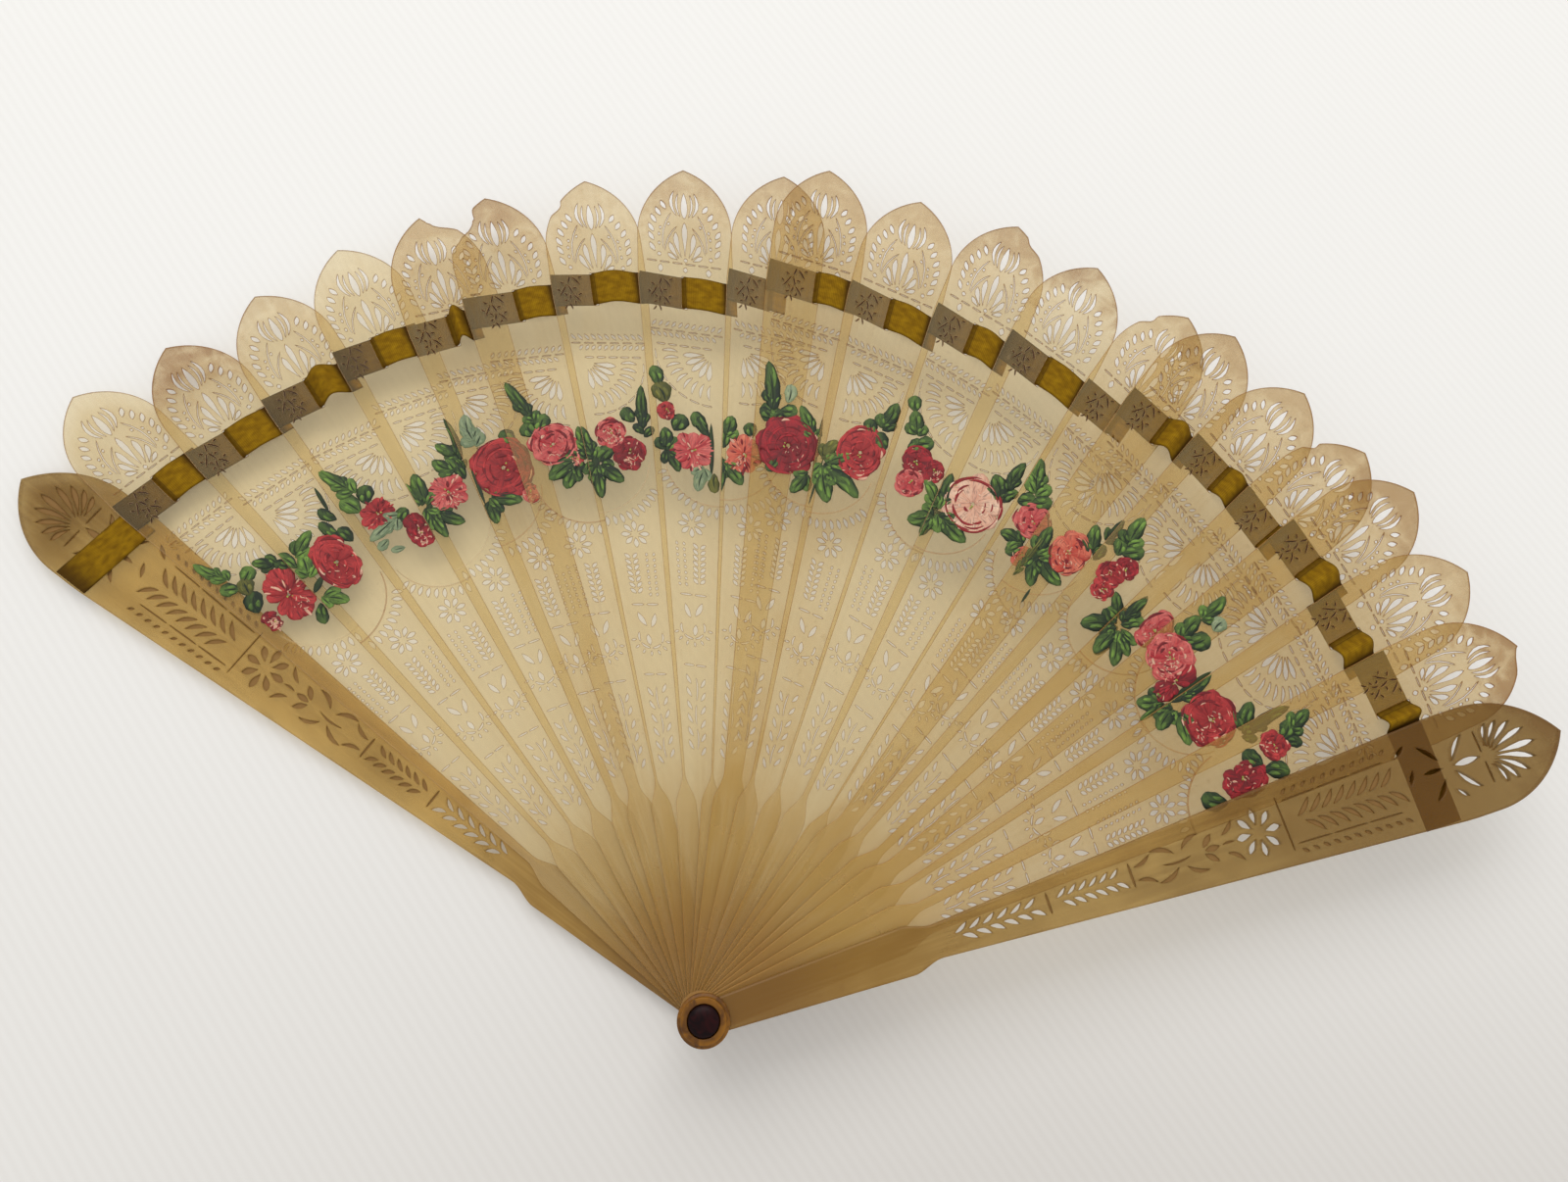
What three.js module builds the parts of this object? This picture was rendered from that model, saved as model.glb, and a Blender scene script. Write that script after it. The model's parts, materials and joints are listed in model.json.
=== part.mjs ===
import * as THREE from "three";

// A brise fan of translucent horn, lying open on a table: a rear guard, twenty pierced blades and a front
// guard turn on one pivot pin between two ring washers, and a ribbon strings them together near their tips.
// Millimetres, +Z up. The pivot's axis is X = Y = 0, the underside of the rear washer is Z = 0, and +Y runs
// along the middle of the open fan. Each stick lies flat on the one at its left.

// Degrees from each stick to the next one on its right, from the rear guard to the front guard, as the fan
// was laid open by hand. The ribbon is taut there, so the sticks can only close from here.
const opening = [
  6.1, 6.6, 6.9, 6.5, 6.1, 4.8, 7.2,
  7.1, 7.3, 3.2, 6.9, 7.2, 6.4, 7.3,
  3.4, 6.1, 5.7, 4.0, 6.2, 5.6, 5.8,
];

// Thicknesses.
const bladeThickness = 0.42;
const guardThickness = 1.1;
const ribbonThickness = 0.09;
const slidingClearance = 0.03;

// A stick's outline, measured from the pivot's axis.
const headRadius = 4.0;
const neckHalfWidth = 2.6;
const gorgeEnd = 34;
const gorgeHalfWidth = 4.1;
const shoulderLength = 5.5;
const shoulderHalfWidth = 2.7;
const bladeReach = 158;
const guardShortfall = 1.5;

// A stick's outline, measured back from a blade's tip.
const flankToTip = 28;
const flankHalfWidth = 8.9;
const tipHalfWidth = 9.2;
const bladeArchLength = 14;
const guardArchLength = 16.5;

// The ribbon and the slot that it passes through.
const ribbonWidth = 6.4;
const ribbonToTip = 25.5;
const ribbonLap = 2;
const slotWidth = 1.0;
const slotEndClearance = 0.3;
const slotOffset = 0.2;

// The pivot: a riveted pin through the sticks' heads, between two ring washers.
const pinRadius = 1.5;
const pinClearance = 0.1;
const pinHeadRadius = 2.5;
const pinHeadThickness = 0.6;
const pinDomeHeight = 0.7;
const pinHeadClearance = 0.1;
const washerFlangeRadius = 4.2;
const washerFlangeThickness = 0.5;
const washerCollarRadius = 3.6;
const washerThickness = 1.5;
const washerEdgeRounding = 0.3;

// The large piercings of a blade, measured back from its tip: a quarter of a fanlight at one edge, which the
// blade's partner completes, and a daisy.
const piercingMargin = 2.2;
const fanlightToTip = 38.6;
const fanlightRays = 5;
const fanlightHubRadius = 1.3;
const fanlightBarWidth = 0.7;
const daisyToTip = 74.6;
const daisyRadius = 2.6;
const daisyPetals = 8;
const daisyEyeRadius = 0.7;
const daisyBarWidth = 0.5;
const loneBlade = 5;

// The small piercings of a blade: pointed leaves in pairs along its middle, leaning towards the tip, and two
// rings of them, one round the fanlight and one round the far side of the painted band. A row runs between
// two distances from the tip, and `share` of the half width inside the margin is where its leaves stand. Each
// pair leans a little more than the one before it, and its right leaf stands a little nearer the pivot.
const leafLength = 2.4;
const leafWidth = 1.1;
const leafLean = 35;
const leafTurn = 2;
const leafStagger = 0.3;
const leafRows = [
  { near: 8.5, far: 17.5, pairs: 4, share: 0.95 },
  { near: 7.5, far: 17.0, pairs: 2, share: 0.36 },
  { near: 79.2, far: 86.0, pairs: 3, share: 0.6 },
  { near: 92.0, far: 105.0, pairs: 2, share: 0.9 },
];
const ringGap = 0.7;
const ringLeaves = 4;
const bandToTip = 60.2;
const bandRadius = 11.7;

// Steps along curves.
const shoulderSteps = 5;
const flankCurveSteps = 3;
const archSteps = 7;
const headSteps = 10;
const latheSegments = 32;
const domeSteps = 5;
const circleCurveSegments = 10;

const bladeCount = opening.length - 1;
const gap = 2 * ribbonThickness + 3 * slidingClearance;
const flankStart = gorgeEnd + shoulderLength;
const flankEnd = bladeReach - flankToTip;
const ribbonAt = bladeReach - ribbonToTip;
const slotLength = ribbonWidth + 2 * slotEndClearance;
const holeRadius = pinRadius + pinClearance;
const degree = Math.PI / 180;

// Half the width of the straight gorge and of the straight flank, at a distance from the pivot.
function gorgeLine(u) {
  const neck = Math.sqrt(headRadius ** 2 - neckHalfWidth ** 2);
  return THREE.MathUtils.mapLinear(u, neck, gorgeEnd, neckHalfWidth, gorgeHalfWidth);
}

function flankLine(u) {
  return THREE.MathUtils.mapLinear(u, flankStart, flankEnd, shoulderHalfWidth, flankHalfWidth);
}

// The points of one side of a stick, as distance from the pivot and half width, from the neck to the tip.
function sideProfile(reach, archLength) {
  const neck = Math.sqrt(headRadius ** 2 - neckHalfWidth ** 2);
  const points = [new THREE.Vector2(neck, neckHalfWidth)];
  for (let i = 0; i <= shoulderSteps; i++) {
    const share = i / shoulderSteps;
    const u = gorgeEnd + share * shoulderLength;
    const blend = THREE.MathUtils.smoothstep(share, 0, 1);
    points.push(new THREE.Vector2(u, THREE.MathUtils.lerp(gorgeLine(u), flankLine(u), blend)));
  }

  const spring = reach - archLength;
  const slope = (flankHalfWidth - shoulderHalfWidth) / (flankEnd - flankStart);
  const bend = flankEnd + (tipHalfWidth - flankHalfWidth) / slope;
  const swell = new THREE.QuadraticBezierCurve(
    new THREE.Vector2(flankEnd, flankHalfWidth),
    new THREE.Vector2(Math.min(bend, spring), tipHalfWidth),
    new THREE.Vector2(spring, tipHalfWidth),
  );
  points.push(...swell.getPoints(flankCurveSteps));

  // The tip is a pointed arch: each side is an arc that starts along the stick and meets the other at the point.
  const archRadius = (tipHalfWidth ** 2 + archLength ** 2) / (2 * tipHalfWidth);
  const archAngle = Math.asin(Math.min(1, archLength / archRadius));
  for (let i = 1; i <= archSteps; i++) {
    const angle = (i / archSteps) * archAngle;
    const halfWidth = tipHalfWidth - archRadius * (1 - Math.cos(angle));
    points.push(new THREE.Vector2(spring + archRadius * Math.sin(angle), halfWidth));
  }
  return points;
}

// A stick lying along +X with its pivot at the origin, its left side towards +Y.
function stickShape(reach, archLength) {
  const side = sideProfile(reach, archLength);
  const right = side.map((p) => new THREE.Vector2(p.x, -p.y));
  const left = side.slice(0, -1).reverse();
  right[right.length - 1].y = 0;
  const neckAngle = Math.asin(neckHalfWidth / headRadius);
  const head = [];
  for (let i = 1; i < headSteps; i++) {
    const angle = THREE.MathUtils.lerp(neckAngle, 2 * Math.PI - neckAngle, i / headSteps);
    head.push(new THREE.Vector2(headRadius * Math.cos(angle), headRadius * Math.sin(angle)));
  }
  const shape = new THREE.Shape([...right, ...left, ...head]);
  shape.holes.push(new THREE.Path().absarc(0, 0, holeRadius, 0, 2 * Math.PI, true));
  return shape;
}

function slotPath() {
  const near = ribbonAt - slotLength / 2;
  const far = ribbonAt + slotLength / 2;
  const low = slotOffset - slotWidth / 2;
  const high = slotOffset + slotWidth / 2;
  return new THREE.Path([
    new THREE.Vector2(near, low),
    new THREE.Vector2(far, low),
    new THREE.Vector2(far, high),
    new THREE.Vector2(near, high),
  ]);
}

// A fanlight's rays spread over a quarter circle from the blade's edge: `side` is 1 where the hub is at the
// left edge, and -1 at the right.
function fanlightPaths(side) {
  const hubU = bladeReach - fanlightToTip;
  const edge = flankLine(hubU) - piercingMargin;
  const radius = Math.min(edge, hubU - flankStart);
  const sector = Math.PI / 2 / fanlightRays;
  const paths = [];
  for (let i = 0; i < fanlightRays; i++) {
    const middle = (i + 0.5) * sector;
    const place = (distance, angle) =>
      new THREE.Vector2(hubU - distance * Math.sin(angle), side * (edge - distance * Math.cos(angle)));
    const spread = Math.max(sector / 4, sector / 2 - fanlightBarWidth / (2 * radius));
    paths.push(
      new THREE.Path([
        place(Math.min(fanlightHubRadius, radius / 3), middle),
        place(radius, middle - spread),
        place(radius, middle + spread),
      ]),
    );
  }
  return paths;
}

// A daisy's petals are pointed ovals round its eye.
function daisyPaths() {
  const centre = new THREE.Vector2(bladeReach - daisyToTip, 0);
  const outer = Math.min(daisyRadius, flankLine(centre.x) - piercingMargin);
  const inner = Math.min(daisyEyeRadius, outer / 3);
  const sector = (2 * Math.PI) / daisyPetals;
  const belly = THREE.MathUtils.lerp(inner, outer, 0.6);
  const halfBelly = Math.max(sector / 4, sector / 2 - daisyBarWidth / (2 * belly));
  const paths = [];
  for (let i = 0; i < daisyPetals; i++) {
    const place = (distance, offset) =>
      new THREE.Vector2(distance, 0).rotateAround(new THREE.Vector2(), i * sector + offset).add(centre);
    paths.push(
      new THREE.Path([place(inner, 0), place(belly, -halfBelly), place(outer, 0), place(belly, halfBelly)]),
    );
  }
  return paths;
}

// Half a blade's width at a distance from the pivot, in its flank or its arch.
function bladeHalfWidth(u) {
  const archRadius = (tipHalfWidth ** 2 + bladeArchLength ** 2) / (2 * tipHalfWidth);
  const rise = THREE.MathUtils.clamp(u - (bladeReach - bladeArchLength), 0, bladeArchLength);
  const arch = tipHalfWidth - archRadius + Math.sqrt(archRadius ** 2 - rise ** 2);
  return Math.min(arch, flankLine(u));
}

// A leaf is a pointed opening about a centre, its length turned by `lean` radians from the stick's length.
function leafPath(centre, lean) {
  const along = new THREE.Vector2(leafLength / 2, 0).rotateAround(new THREE.Vector2(), lean);
  const across = new THREE.Vector2(0, leafWidth / 2).rotateAround(new THREE.Vector2(), lean);
  return new THREE.Path([
    centre.clone().sub(along),
    centre.clone().sub(across),
    centre.clone().add(along),
    centre.clone().add(across),
  ]);
}

function leafRowPaths() {
  const paths = [];
  for (const row of leafRows) {
    for (let i = 0; i < row.pairs; i++) {
      const u = bladeReach - THREE.MathUtils.lerp(row.far, row.near, i / (row.pairs - 1));
      const v = row.share * (bladeHalfWidth(u) - piercingMargin);
      const lean = (leafLean + i * leafTurn) * degree;
      paths.push(leafPath(new THREE.Vector2(u, v), lean));
      paths.push(leafPath(new THREE.Vector2(u - leafStagger, -v), -lean));
    }
  }
  return paths;
}

// A ring of leaves over part of a quarter circle that starts at the blade's edge, as the fanlight does.
function leafRingPaths(side, hubU, radius, spread) {
  const edge = flankLine(hubU) - piercingMargin;
  const paths = [];
  for (let i = 0; i < ringLeaves; i++) {
    const angle = ((i + 0.5) / ringLeaves) * spread;
    const u = hubU - radius * Math.cos(angle);
    const v = side * (edge - radius * Math.sin(angle));
    paths.push(leafPath(new THREE.Vector2(u, v), side * angle));
  }
  return paths;
}

// The pattern runs over pairs of blades, a left half and a right half, and one blade is a lone right half.
function isLeftHalf(number) {
  const order = number < loneBlade ? number : number + 1;
  return order % 2 === 1;
}

function plate(shape, thickness) {
  return new THREE.ExtrudeGeometry(shape, {
    depth: thickness,
    bevelEnabled: false,
    curveSegments: circleCurveSegments,
  });
}

function bladeGeometry(number) {
  const shape = stickShape(bladeReach, bladeArchLength);
  const hubSide = isLeftHalf(number) ? -1 : 1;
  const fanlightHub = bladeReach - fanlightToTip;
  const fanlightRing = flankLine(fanlightHub) - piercingMargin + ringGap + leafLength / 2;
  const bandHub = bladeReach - bandToTip;
  shape.holes.push(
    slotPath(),
    ...fanlightPaths(hubSide),
    ...leafRingPaths(hubSide, fanlightHub, fanlightRing, Math.PI / 2),
    ...leafRingPaths(hubSide, bandHub, bandRadius, Math.PI / 3),
    ...daisyPaths(),
    ...leafRowPaths(),
  );
  return plate(shape, bladeThickness);
}

function guardGeometry() {
  return plate(stickShape(bladeReach - guardShortfall, guardArchLength), guardThickness);
}

// Where a strip of ribbon on one stick ends, a lap's length under the next stick's left edge.
function lapEnd(stepDegrees) {
  const nextEdge = flankLine(ribbonAt) - ribbonAt * stepDegrees * degree;
  return Math.min(slotOffset - slotWidth, nextEdge) - ribbonLap;
}

// A ribbon's section across the stick, as (side, height), swept along the stick over the ribbon's width.
function ribbonGeometry(section) {
  const geometry = new THREE.ExtrudeGeometry(new THREE.Shape(section), {
    depth: ribbonWidth,
    bevelEnabled: false,
  });
  const basis = new THREE.Matrix4().makeBasis(
    new THREE.Vector3(0, 1, 0),
    new THREE.Vector3(0, 0, 1),
    new THREE.Vector3(1, 0, 0),
  );
  geometry.applyMatrix4(basis);
  geometry.translate(ribbonAt - ribbonWidth / 2, 0, 0);
  return geometry;
}

// A flat end of the ribbon, from one side position to another, standing on a height.
function ribbonStrip(from, to, height) {
  const top = height + ribbonThickness;
  return ribbonGeometry([
    new THREE.Vector2(from, height),
    new THREE.Vector2(to, height),
    new THREE.Vector2(to, top),
    new THREE.Vector2(from, top),
  ]);
}

// A blade's stretch of ribbon: under its left half, up through its slot and over its right half.
function threadedRibbon(stepDegrees) {
  const webRight = slotOffset - ribbonThickness / 2;
  const webLeft = slotOffset + ribbonThickness / 2;
  const leftEnd = flankLine(ribbonAt) - slidingClearance;
  const rightEnd = lapEnd(stepDegrees);
  const underTop = -slidingClearance;
  const underBottom = underTop - ribbonThickness;
  const overBottom = bladeThickness + slidingClearance;
  const overTop = overBottom + ribbonThickness;
  return ribbonGeometry([
    new THREE.Vector2(webRight, underBottom),
    new THREE.Vector2(leftEnd, underBottom),
    new THREE.Vector2(leftEnd, underTop),
    new THREE.Vector2(webLeft, underTop),
    new THREE.Vector2(webLeft, overTop),
    new THREE.Vector2(rightEnd, overTop),
    new THREE.Vector2(rightEnd, overBottom),
    new THREE.Vector2(webRight, overBottom),
  ]);
}

// A profile of (radius, height) turned round the pivot's axis.
function turned(profile) {
  const geometry = new THREE.LatheGeometry(profile, latheSegments);
  geometry.rotateX(Math.PI / 2);
  return geometry;
}

// A washer that stands on its flange, with a pocket in its collar for the pin's head.
function washerGeometry() {
  const pocketRadius = pinHeadRadius + pinHeadClearance;
  const pocketFloor = washerThickness - pinHeadThickness - pinHeadClearance;
  const corner = washerThickness - washerEdgeRounding;
  return turned([
    new THREE.Vector2(holeRadius, 0),
    new THREE.Vector2(washerFlangeRadius, 0),
    new THREE.Vector2(washerFlangeRadius, washerFlangeThickness),
    new THREE.Vector2(washerCollarRadius, washerFlangeThickness + washerEdgeRounding),
    new THREE.Vector2(washerCollarRadius, corner),
    new THREE.Vector2(washerCollarRadius - washerEdgeRounding, washerThickness),
    new THREE.Vector2(pocketRadius, washerThickness),
    new THREE.Vector2(pocketRadius, pocketFloor),
    new THREE.Vector2(holeRadius, pocketFloor),
    new THREE.Vector2(holeRadius, 0),
  ]);
}

// The pin: a flat head level with the rear washer's face, a shaft, and a low domed head in front.
function pinGeometry(stackTop) {
  const frontFace = stackTop - pinHeadThickness;
  const profile = [
    new THREE.Vector2(0, 0),
    new THREE.Vector2(pinHeadRadius, 0),
    new THREE.Vector2(pinHeadRadius, pinHeadThickness),
    new THREE.Vector2(pinRadius, pinHeadThickness),
    new THREE.Vector2(pinRadius, frontFace),
    new THREE.Vector2(pinHeadRadius, frontFace),
  ];
  for (let i = 0; i < domeSteps; i++) {
    const angle = (i / domeSteps) * (Math.PI / 2);
    profile.push(new THREE.Vector2(pinHeadRadius * Math.cos(angle), stackTop + pinDomeHeight * Math.sin(angle)));
  }
  profile.push(new THREE.Vector2(0, stackTop + pinDomeHeight));
  return turned(profile);
}

function mesh(name, geometry, color, roughness, metalness = 0) {
  const made = new THREE.Mesh(geometry, new THREE.MeshStandardMaterial({ color, roughness, metalness }));
  made.name = name;
  return made;
}

function hornBlade(name, geometry) {
  const made = mesh(name, geometry, "#dccba6", 0.3);
  made.material.transparent = true;
  made.material.opacity = 0.8;
  return made;
}

const hornGuard = (name, geometry) => mesh(name, geometry, "#c9a76e", 0.35);
const ribbonPiece = (name, geometry) => mesh(name, geometry, "#a5872b", 0.8);

const fan = new THREE.Group();

// Sticks are stacked upwards from the rear washer, and turn clockwise from the rear guard at the left.
let angle = 90 + opening.reduce((sum, step) => sum + step, 0) / 2;
let height = washerThickness + slidingClearance;

function addStick(stick, ribbon) {
  const turn = new THREE.Group();
  turn.rotation.z = angle * degree;
  turn.position.z = height;
  turn.add(stick, ribbon);
  fan.add(turn);
}

const edgeAtRibbon = flankLine(ribbonAt);
const rearRibbon = ribbonStrip(lapEnd(opening[0]), edgeAtRibbon, guardThickness + slidingClearance);
addStick(hornGuard("rear_guard", guardGeometry()), ribbonPiece("ribbon_rear_end", rearRibbon));
height += guardThickness + gap;

for (let number = 1; number <= bladeCount; number++) {
  const label = String(number).padStart(2, "0");
  angle -= opening[number - 1];
  addStick(
    hornBlade("blade_" + label, bladeGeometry(number)),
    ribbonPiece("ribbon_" + label, threadedRibbon(opening[number])),
  );
  height += bladeThickness + gap;
}

angle -= opening[bladeCount];
const frontRibbon = ribbonStrip(-edgeAtRibbon, edgeAtRibbon - slidingClearance, -slidingClearance - ribbonThickness);
addStick(hornGuard("front_guard", guardGeometry()), ribbonPiece("ribbon_front_end", frontRibbon));
height += guardThickness + slidingClearance;

const rearWasher = mesh("rear_washer", washerGeometry(), "#8a5a1e", 0.4);
rearWasher.rotation.x = Math.PI;
rearWasher.position.z = washerThickness;
const frontWasher = mesh("front_washer", washerGeometry(), "#8a5a1e", 0.4);
frontWasher.position.z = height;
fan.add(rearWasher, frontWasher, mesh("pivot_pin", pinGeometry(height + washerThickness), "#2a0d08", 0.2));

export default fan;
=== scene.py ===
"""A brise fan of pierced and painted horn, lying open on a table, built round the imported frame.

Inside the classes a length is in millimetres in a stick's own axes: u runs from the pivot to the tip, v to the
stick's left and w upwards from its underside. It becomes metres in the frame's axes when a mesh is made.
"""

import json
import logging
import math
from dataclasses import dataclass, field
from enum import Enum
from typing import Sequence, Union

import bmesh
import bpy
import numpy as np
from mathutils import Matrix, Vector
from mathutils.geometry import delaunay_2d_cdt


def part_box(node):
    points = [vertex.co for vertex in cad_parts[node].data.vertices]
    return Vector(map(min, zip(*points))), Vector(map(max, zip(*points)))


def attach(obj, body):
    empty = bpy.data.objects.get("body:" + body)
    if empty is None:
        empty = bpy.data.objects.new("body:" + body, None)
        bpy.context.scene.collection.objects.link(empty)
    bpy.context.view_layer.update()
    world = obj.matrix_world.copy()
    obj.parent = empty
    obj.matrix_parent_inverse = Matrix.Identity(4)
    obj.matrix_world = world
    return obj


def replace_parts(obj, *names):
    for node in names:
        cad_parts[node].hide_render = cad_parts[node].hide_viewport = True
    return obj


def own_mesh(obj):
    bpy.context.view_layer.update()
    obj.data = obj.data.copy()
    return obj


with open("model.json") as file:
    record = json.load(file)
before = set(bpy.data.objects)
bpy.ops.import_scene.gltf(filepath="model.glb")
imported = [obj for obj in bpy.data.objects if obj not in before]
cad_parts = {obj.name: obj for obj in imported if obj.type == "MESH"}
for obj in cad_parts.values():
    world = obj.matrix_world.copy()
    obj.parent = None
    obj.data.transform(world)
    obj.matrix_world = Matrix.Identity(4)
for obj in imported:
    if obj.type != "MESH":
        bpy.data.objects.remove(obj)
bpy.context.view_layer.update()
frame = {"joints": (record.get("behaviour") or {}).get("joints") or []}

log = logging.getLogger("horn_fan")

Array = np.ndarray
Colour = tuple[float, float, float]
MM = 0.001
WELD = 1e-6
PLACE = "place"
RIM = "rim"
# The ribbon's darkening, 0 to 1: painted shade under the blades and at the slots and folds, and darker ends on the
# guards.
RIBBON_DARKENING = "tint"
BRUSH = "brush"


def srgb(red: int, green: int, blue: int) -> Colour:
    """Turns a colour written as on a screen, 0 to 255, into linear light.

    Args:
        red: The red share.
        green: The green share.
        blue: The blue share.

    Returns:
        The colour as three linear values from 0 to 1.
    """
    shares = np.array([red, green, blue]) / 255
    linear = np.where(shares <= 0.04045, shares / 12.92, ((shares + 0.055) / 1.055) ** 2.4)
    return tuple(float(x) for x in linear)


class Value:
    """A number in a shader. Each operator on it adds one Math node."""

    def __init__(self, shader: "Shader", socket: bpy.types.NodeSocket) -> None:
        """Keeps the shader and the output socket that carries the number."""
        self.shader = shader
        self.socket = socket

    def _math(self, operation: str, first: "Number", second: "Number") -> "Value":
        """Adds a Math node with this operation on two numbers."""
        return self.shader.node("ShaderNodeMath", {"operation": operation}, {0: first, 1: second})

    def __add__(self, other: "Number") -> "Value":
        """Returns self + other."""
        return self._math("ADD", self, other)

    def __radd__(self, other: "Number") -> "Value":
        """Returns other + self."""
        return self._math("ADD", other, self)

    def __sub__(self, other: "Number") -> "Value":
        """Returns self - other."""
        return self._math("SUBTRACT", self, other)

    def __rsub__(self, other: "Number") -> "Value":
        """Returns other - self."""
        return self._math("SUBTRACT", other, self)

    def __mul__(self, other: "Number") -> "Value":
        """Returns self * other."""
        return self._math("MULTIPLY", self, other)

    def __rmul__(self, other: "Number") -> "Value":
        """Returns other * self."""
        return self._math("MULTIPLY", other, self)

    def __pow__(self, other: "Number") -> "Value":
        """Returns self to the power of other."""
        return self._math("POWER", self, other)

    def sine(self) -> "Value":
        """Returns the sine of an angle in radians."""
        return self._math("SINE", self, 0.0)

    def size(self) -> "Value":
        """Returns the number without its sign."""
        return self._math("ABSOLUTE", self, 0.0)

    def at_most(self, other: "Number") -> "Value":
        """Returns the smaller of the two."""
        return self._math("MINIMUM", self, other)

    def at_least(self, other: "Number") -> "Value":
        """Returns the larger of the two."""
        return self._math("MAXIMUM", self, other)


Number = Union[Value, float]


class Shader:
    """A material under construction: one Principled surface and the nodes that feed it."""

    def __init__(self, name: str) -> None:
        """Starts an empty material of that name with a Principled surface."""
        self.material = bpy.data.materials.new(name)
        self.material.use_nodes = True
        self.tree = self.material.node_tree
        self.surface = self.tree.nodes["Principled BSDF"]

    def node(self, kind: str, settings: dict, inputs: dict, output: Union[int, str] = 0) -> Value:
        """Adds a node.

        Args:
            kind: The node's type.
            settings: Its properties, set before its sockets; "stops" fills a colour ramp.
            inputs: Numbers, colours or links for its sockets, by index or name.
            output: Which of its outputs is wanted.

        Returns:
            That output.
        """
        made = self.tree.nodes.new(kind)
        for key, value in settings.items():
            if key == "stops":
                self._fill_ramp(made, value)
            else:
                setattr(made, key, value)
        for key, value in inputs.items():
            self.feed(made.inputs[key], value)
        return Value(self, made.outputs[output])

    @staticmethod
    def _fill_ramp(made: bpy.types.Node, stops: Sequence[tuple[float, Colour]]) -> None:
        """Puts the stops, as (place, colour), into a colour ramp."""
        ramp = made.color_ramp
        while len(ramp.elements) < len(stops):
            ramp.elements.new(0.5)
        for element, (place, colour) in zip(ramp.elements, stops):
            element.position = place
            element.color = (*colour, 1.0)

    def feed(self, socket: bpy.types.NodeSocket, value: Union[Number, Colour]) -> None:
        """Links or sets a socket; a colour gets its fourth value."""
        if isinstance(value, Value):
            self.tree.links.new(value.socket, socket)
        elif isinstance(value, tuple) and socket.type == "RGBA":
            socket.default_value = (*value, 1.0)
        else:
            socket.default_value = value

    def attribute(self, name: str, output: str = "Fac") -> Value:
        """Reads one of the mesh's attributes."""
        return self.node("ShaderNodeAttribute", {"attribute_name": name}, {}, output)

    def split(self, vector: Value) -> list[Value]:
        """Splits a vector into its three numbers."""
        made = self.node("ShaderNodeSeparateXYZ", {}, {0: vector})
        return [Value(self, output) for output in made.socket.node.outputs]

    def join(self, x: Number, y: Number, z: Number) -> Value:
        """Joins three numbers into a vector."""
        return self.node("ShaderNodeCombineXYZ", {}, {0: x, 1: y, 2: z})

    def blend(self, share: Number, first: Union[Value, Colour], second: Union[Value, Colour],
              way: str = "MIX") -> Value:
        """Mixes two colours.

        Args:
            share: How much of the second, 0 to 1.
            first: The colour at 0.
            second: The colour at 1.
            way: How they mix, as the Mix node names it.

        Returns:
            The mixed colour.
        """
        settings = {"data_type": "RGBA", "blend_type": way}
        return self.node("ShaderNodeMix", settings, {0: share, 6: first, 7: second}, 2)

    def noise(self, place: Value, scale: float, detail: float = 2.0, distortion: float = 0.0) -> Value:
        """Adds smooth noise from 0 to 1 over a place."""
        inputs = {"Vector": place, "Scale": scale, "Detail": detail, "Distortion": distortion}
        return self.node("ShaderNodeTexNoise", {}, inputs)

    def step(self, value: Number, low: float, high: float, first: float = 0.0, last: float = 1.0) -> Value:
        """Rises smoothly from first to last as value goes from low to high."""
        inputs = {0: value, 1: low, 2: high, 3: first, 4: last}
        return self.node("ShaderNodeMapRange", {"interpolation_type": "SMOOTHSTEP"}, inputs)

    def dress(self, **inputs: Union[Number, Colour]) -> None:
        """Feeds the Principled surface's sockets, named with underscores for spaces."""
        for key, value in inputs.items():
            self.feed(self.surface.inputs[key.replace("_", " ")], value)

    def veil(self, cover: Value, tint: Colour) -> None:
        """Lets light through the surface: it covers only that share, and what shows past it takes on the tint."""
        clear = self.tree.nodes.new("ShaderNodeBsdfTransparent")
        clear.inputs["Color"].default_value = (*tint, 1.0)
        mixed = self.tree.nodes.new("ShaderNodeMixShader")
        self.feed(mixed.inputs[0], cover)
        self.tree.links.new(clear.outputs[0], mixed.inputs[1])
        self.tree.links.new(self.surface.outputs[0], mixed.inputs[2])
        self.tree.links.new(mixed.outputs[0], self.tree.nodes["Material Output"].inputs["Surface"])

    def bump(self, height: Value, distance: float, strength: float = 1.0) -> None:
        """Tilts the surface by a height pattern whose full rise is that many metres."""
        inputs = {"Height": height, "Distance": distance, "Strength": strength}
        self.dress(Normal=self.node("ShaderNodeBump", {}, inputs, "Normal"))


@dataclass(frozen=True)
class Stand:
    """Where a stick lies: its turn about the pivot, in radians, and the height of its underside, in mm."""

    turn: float
    height: float

    def world(self, local: Array) -> Array:
        """Turns (u, v, w) by the stick's angle about the pivot, lifts it by its height and scales it to metres.

        Args:
            local: Points as rows of (u, v, w).

        Returns:
            The points in the frame.
        """
        cosine, sine = math.cos(self.turn), math.sin(self.turn)
        u, v, w = local[:, 0], local[:, 1], local[:, 2]
        return np.stack([u * cosine - v * sine, u * sine + v * cosine, w + self.height], axis=1) * MM


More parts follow.
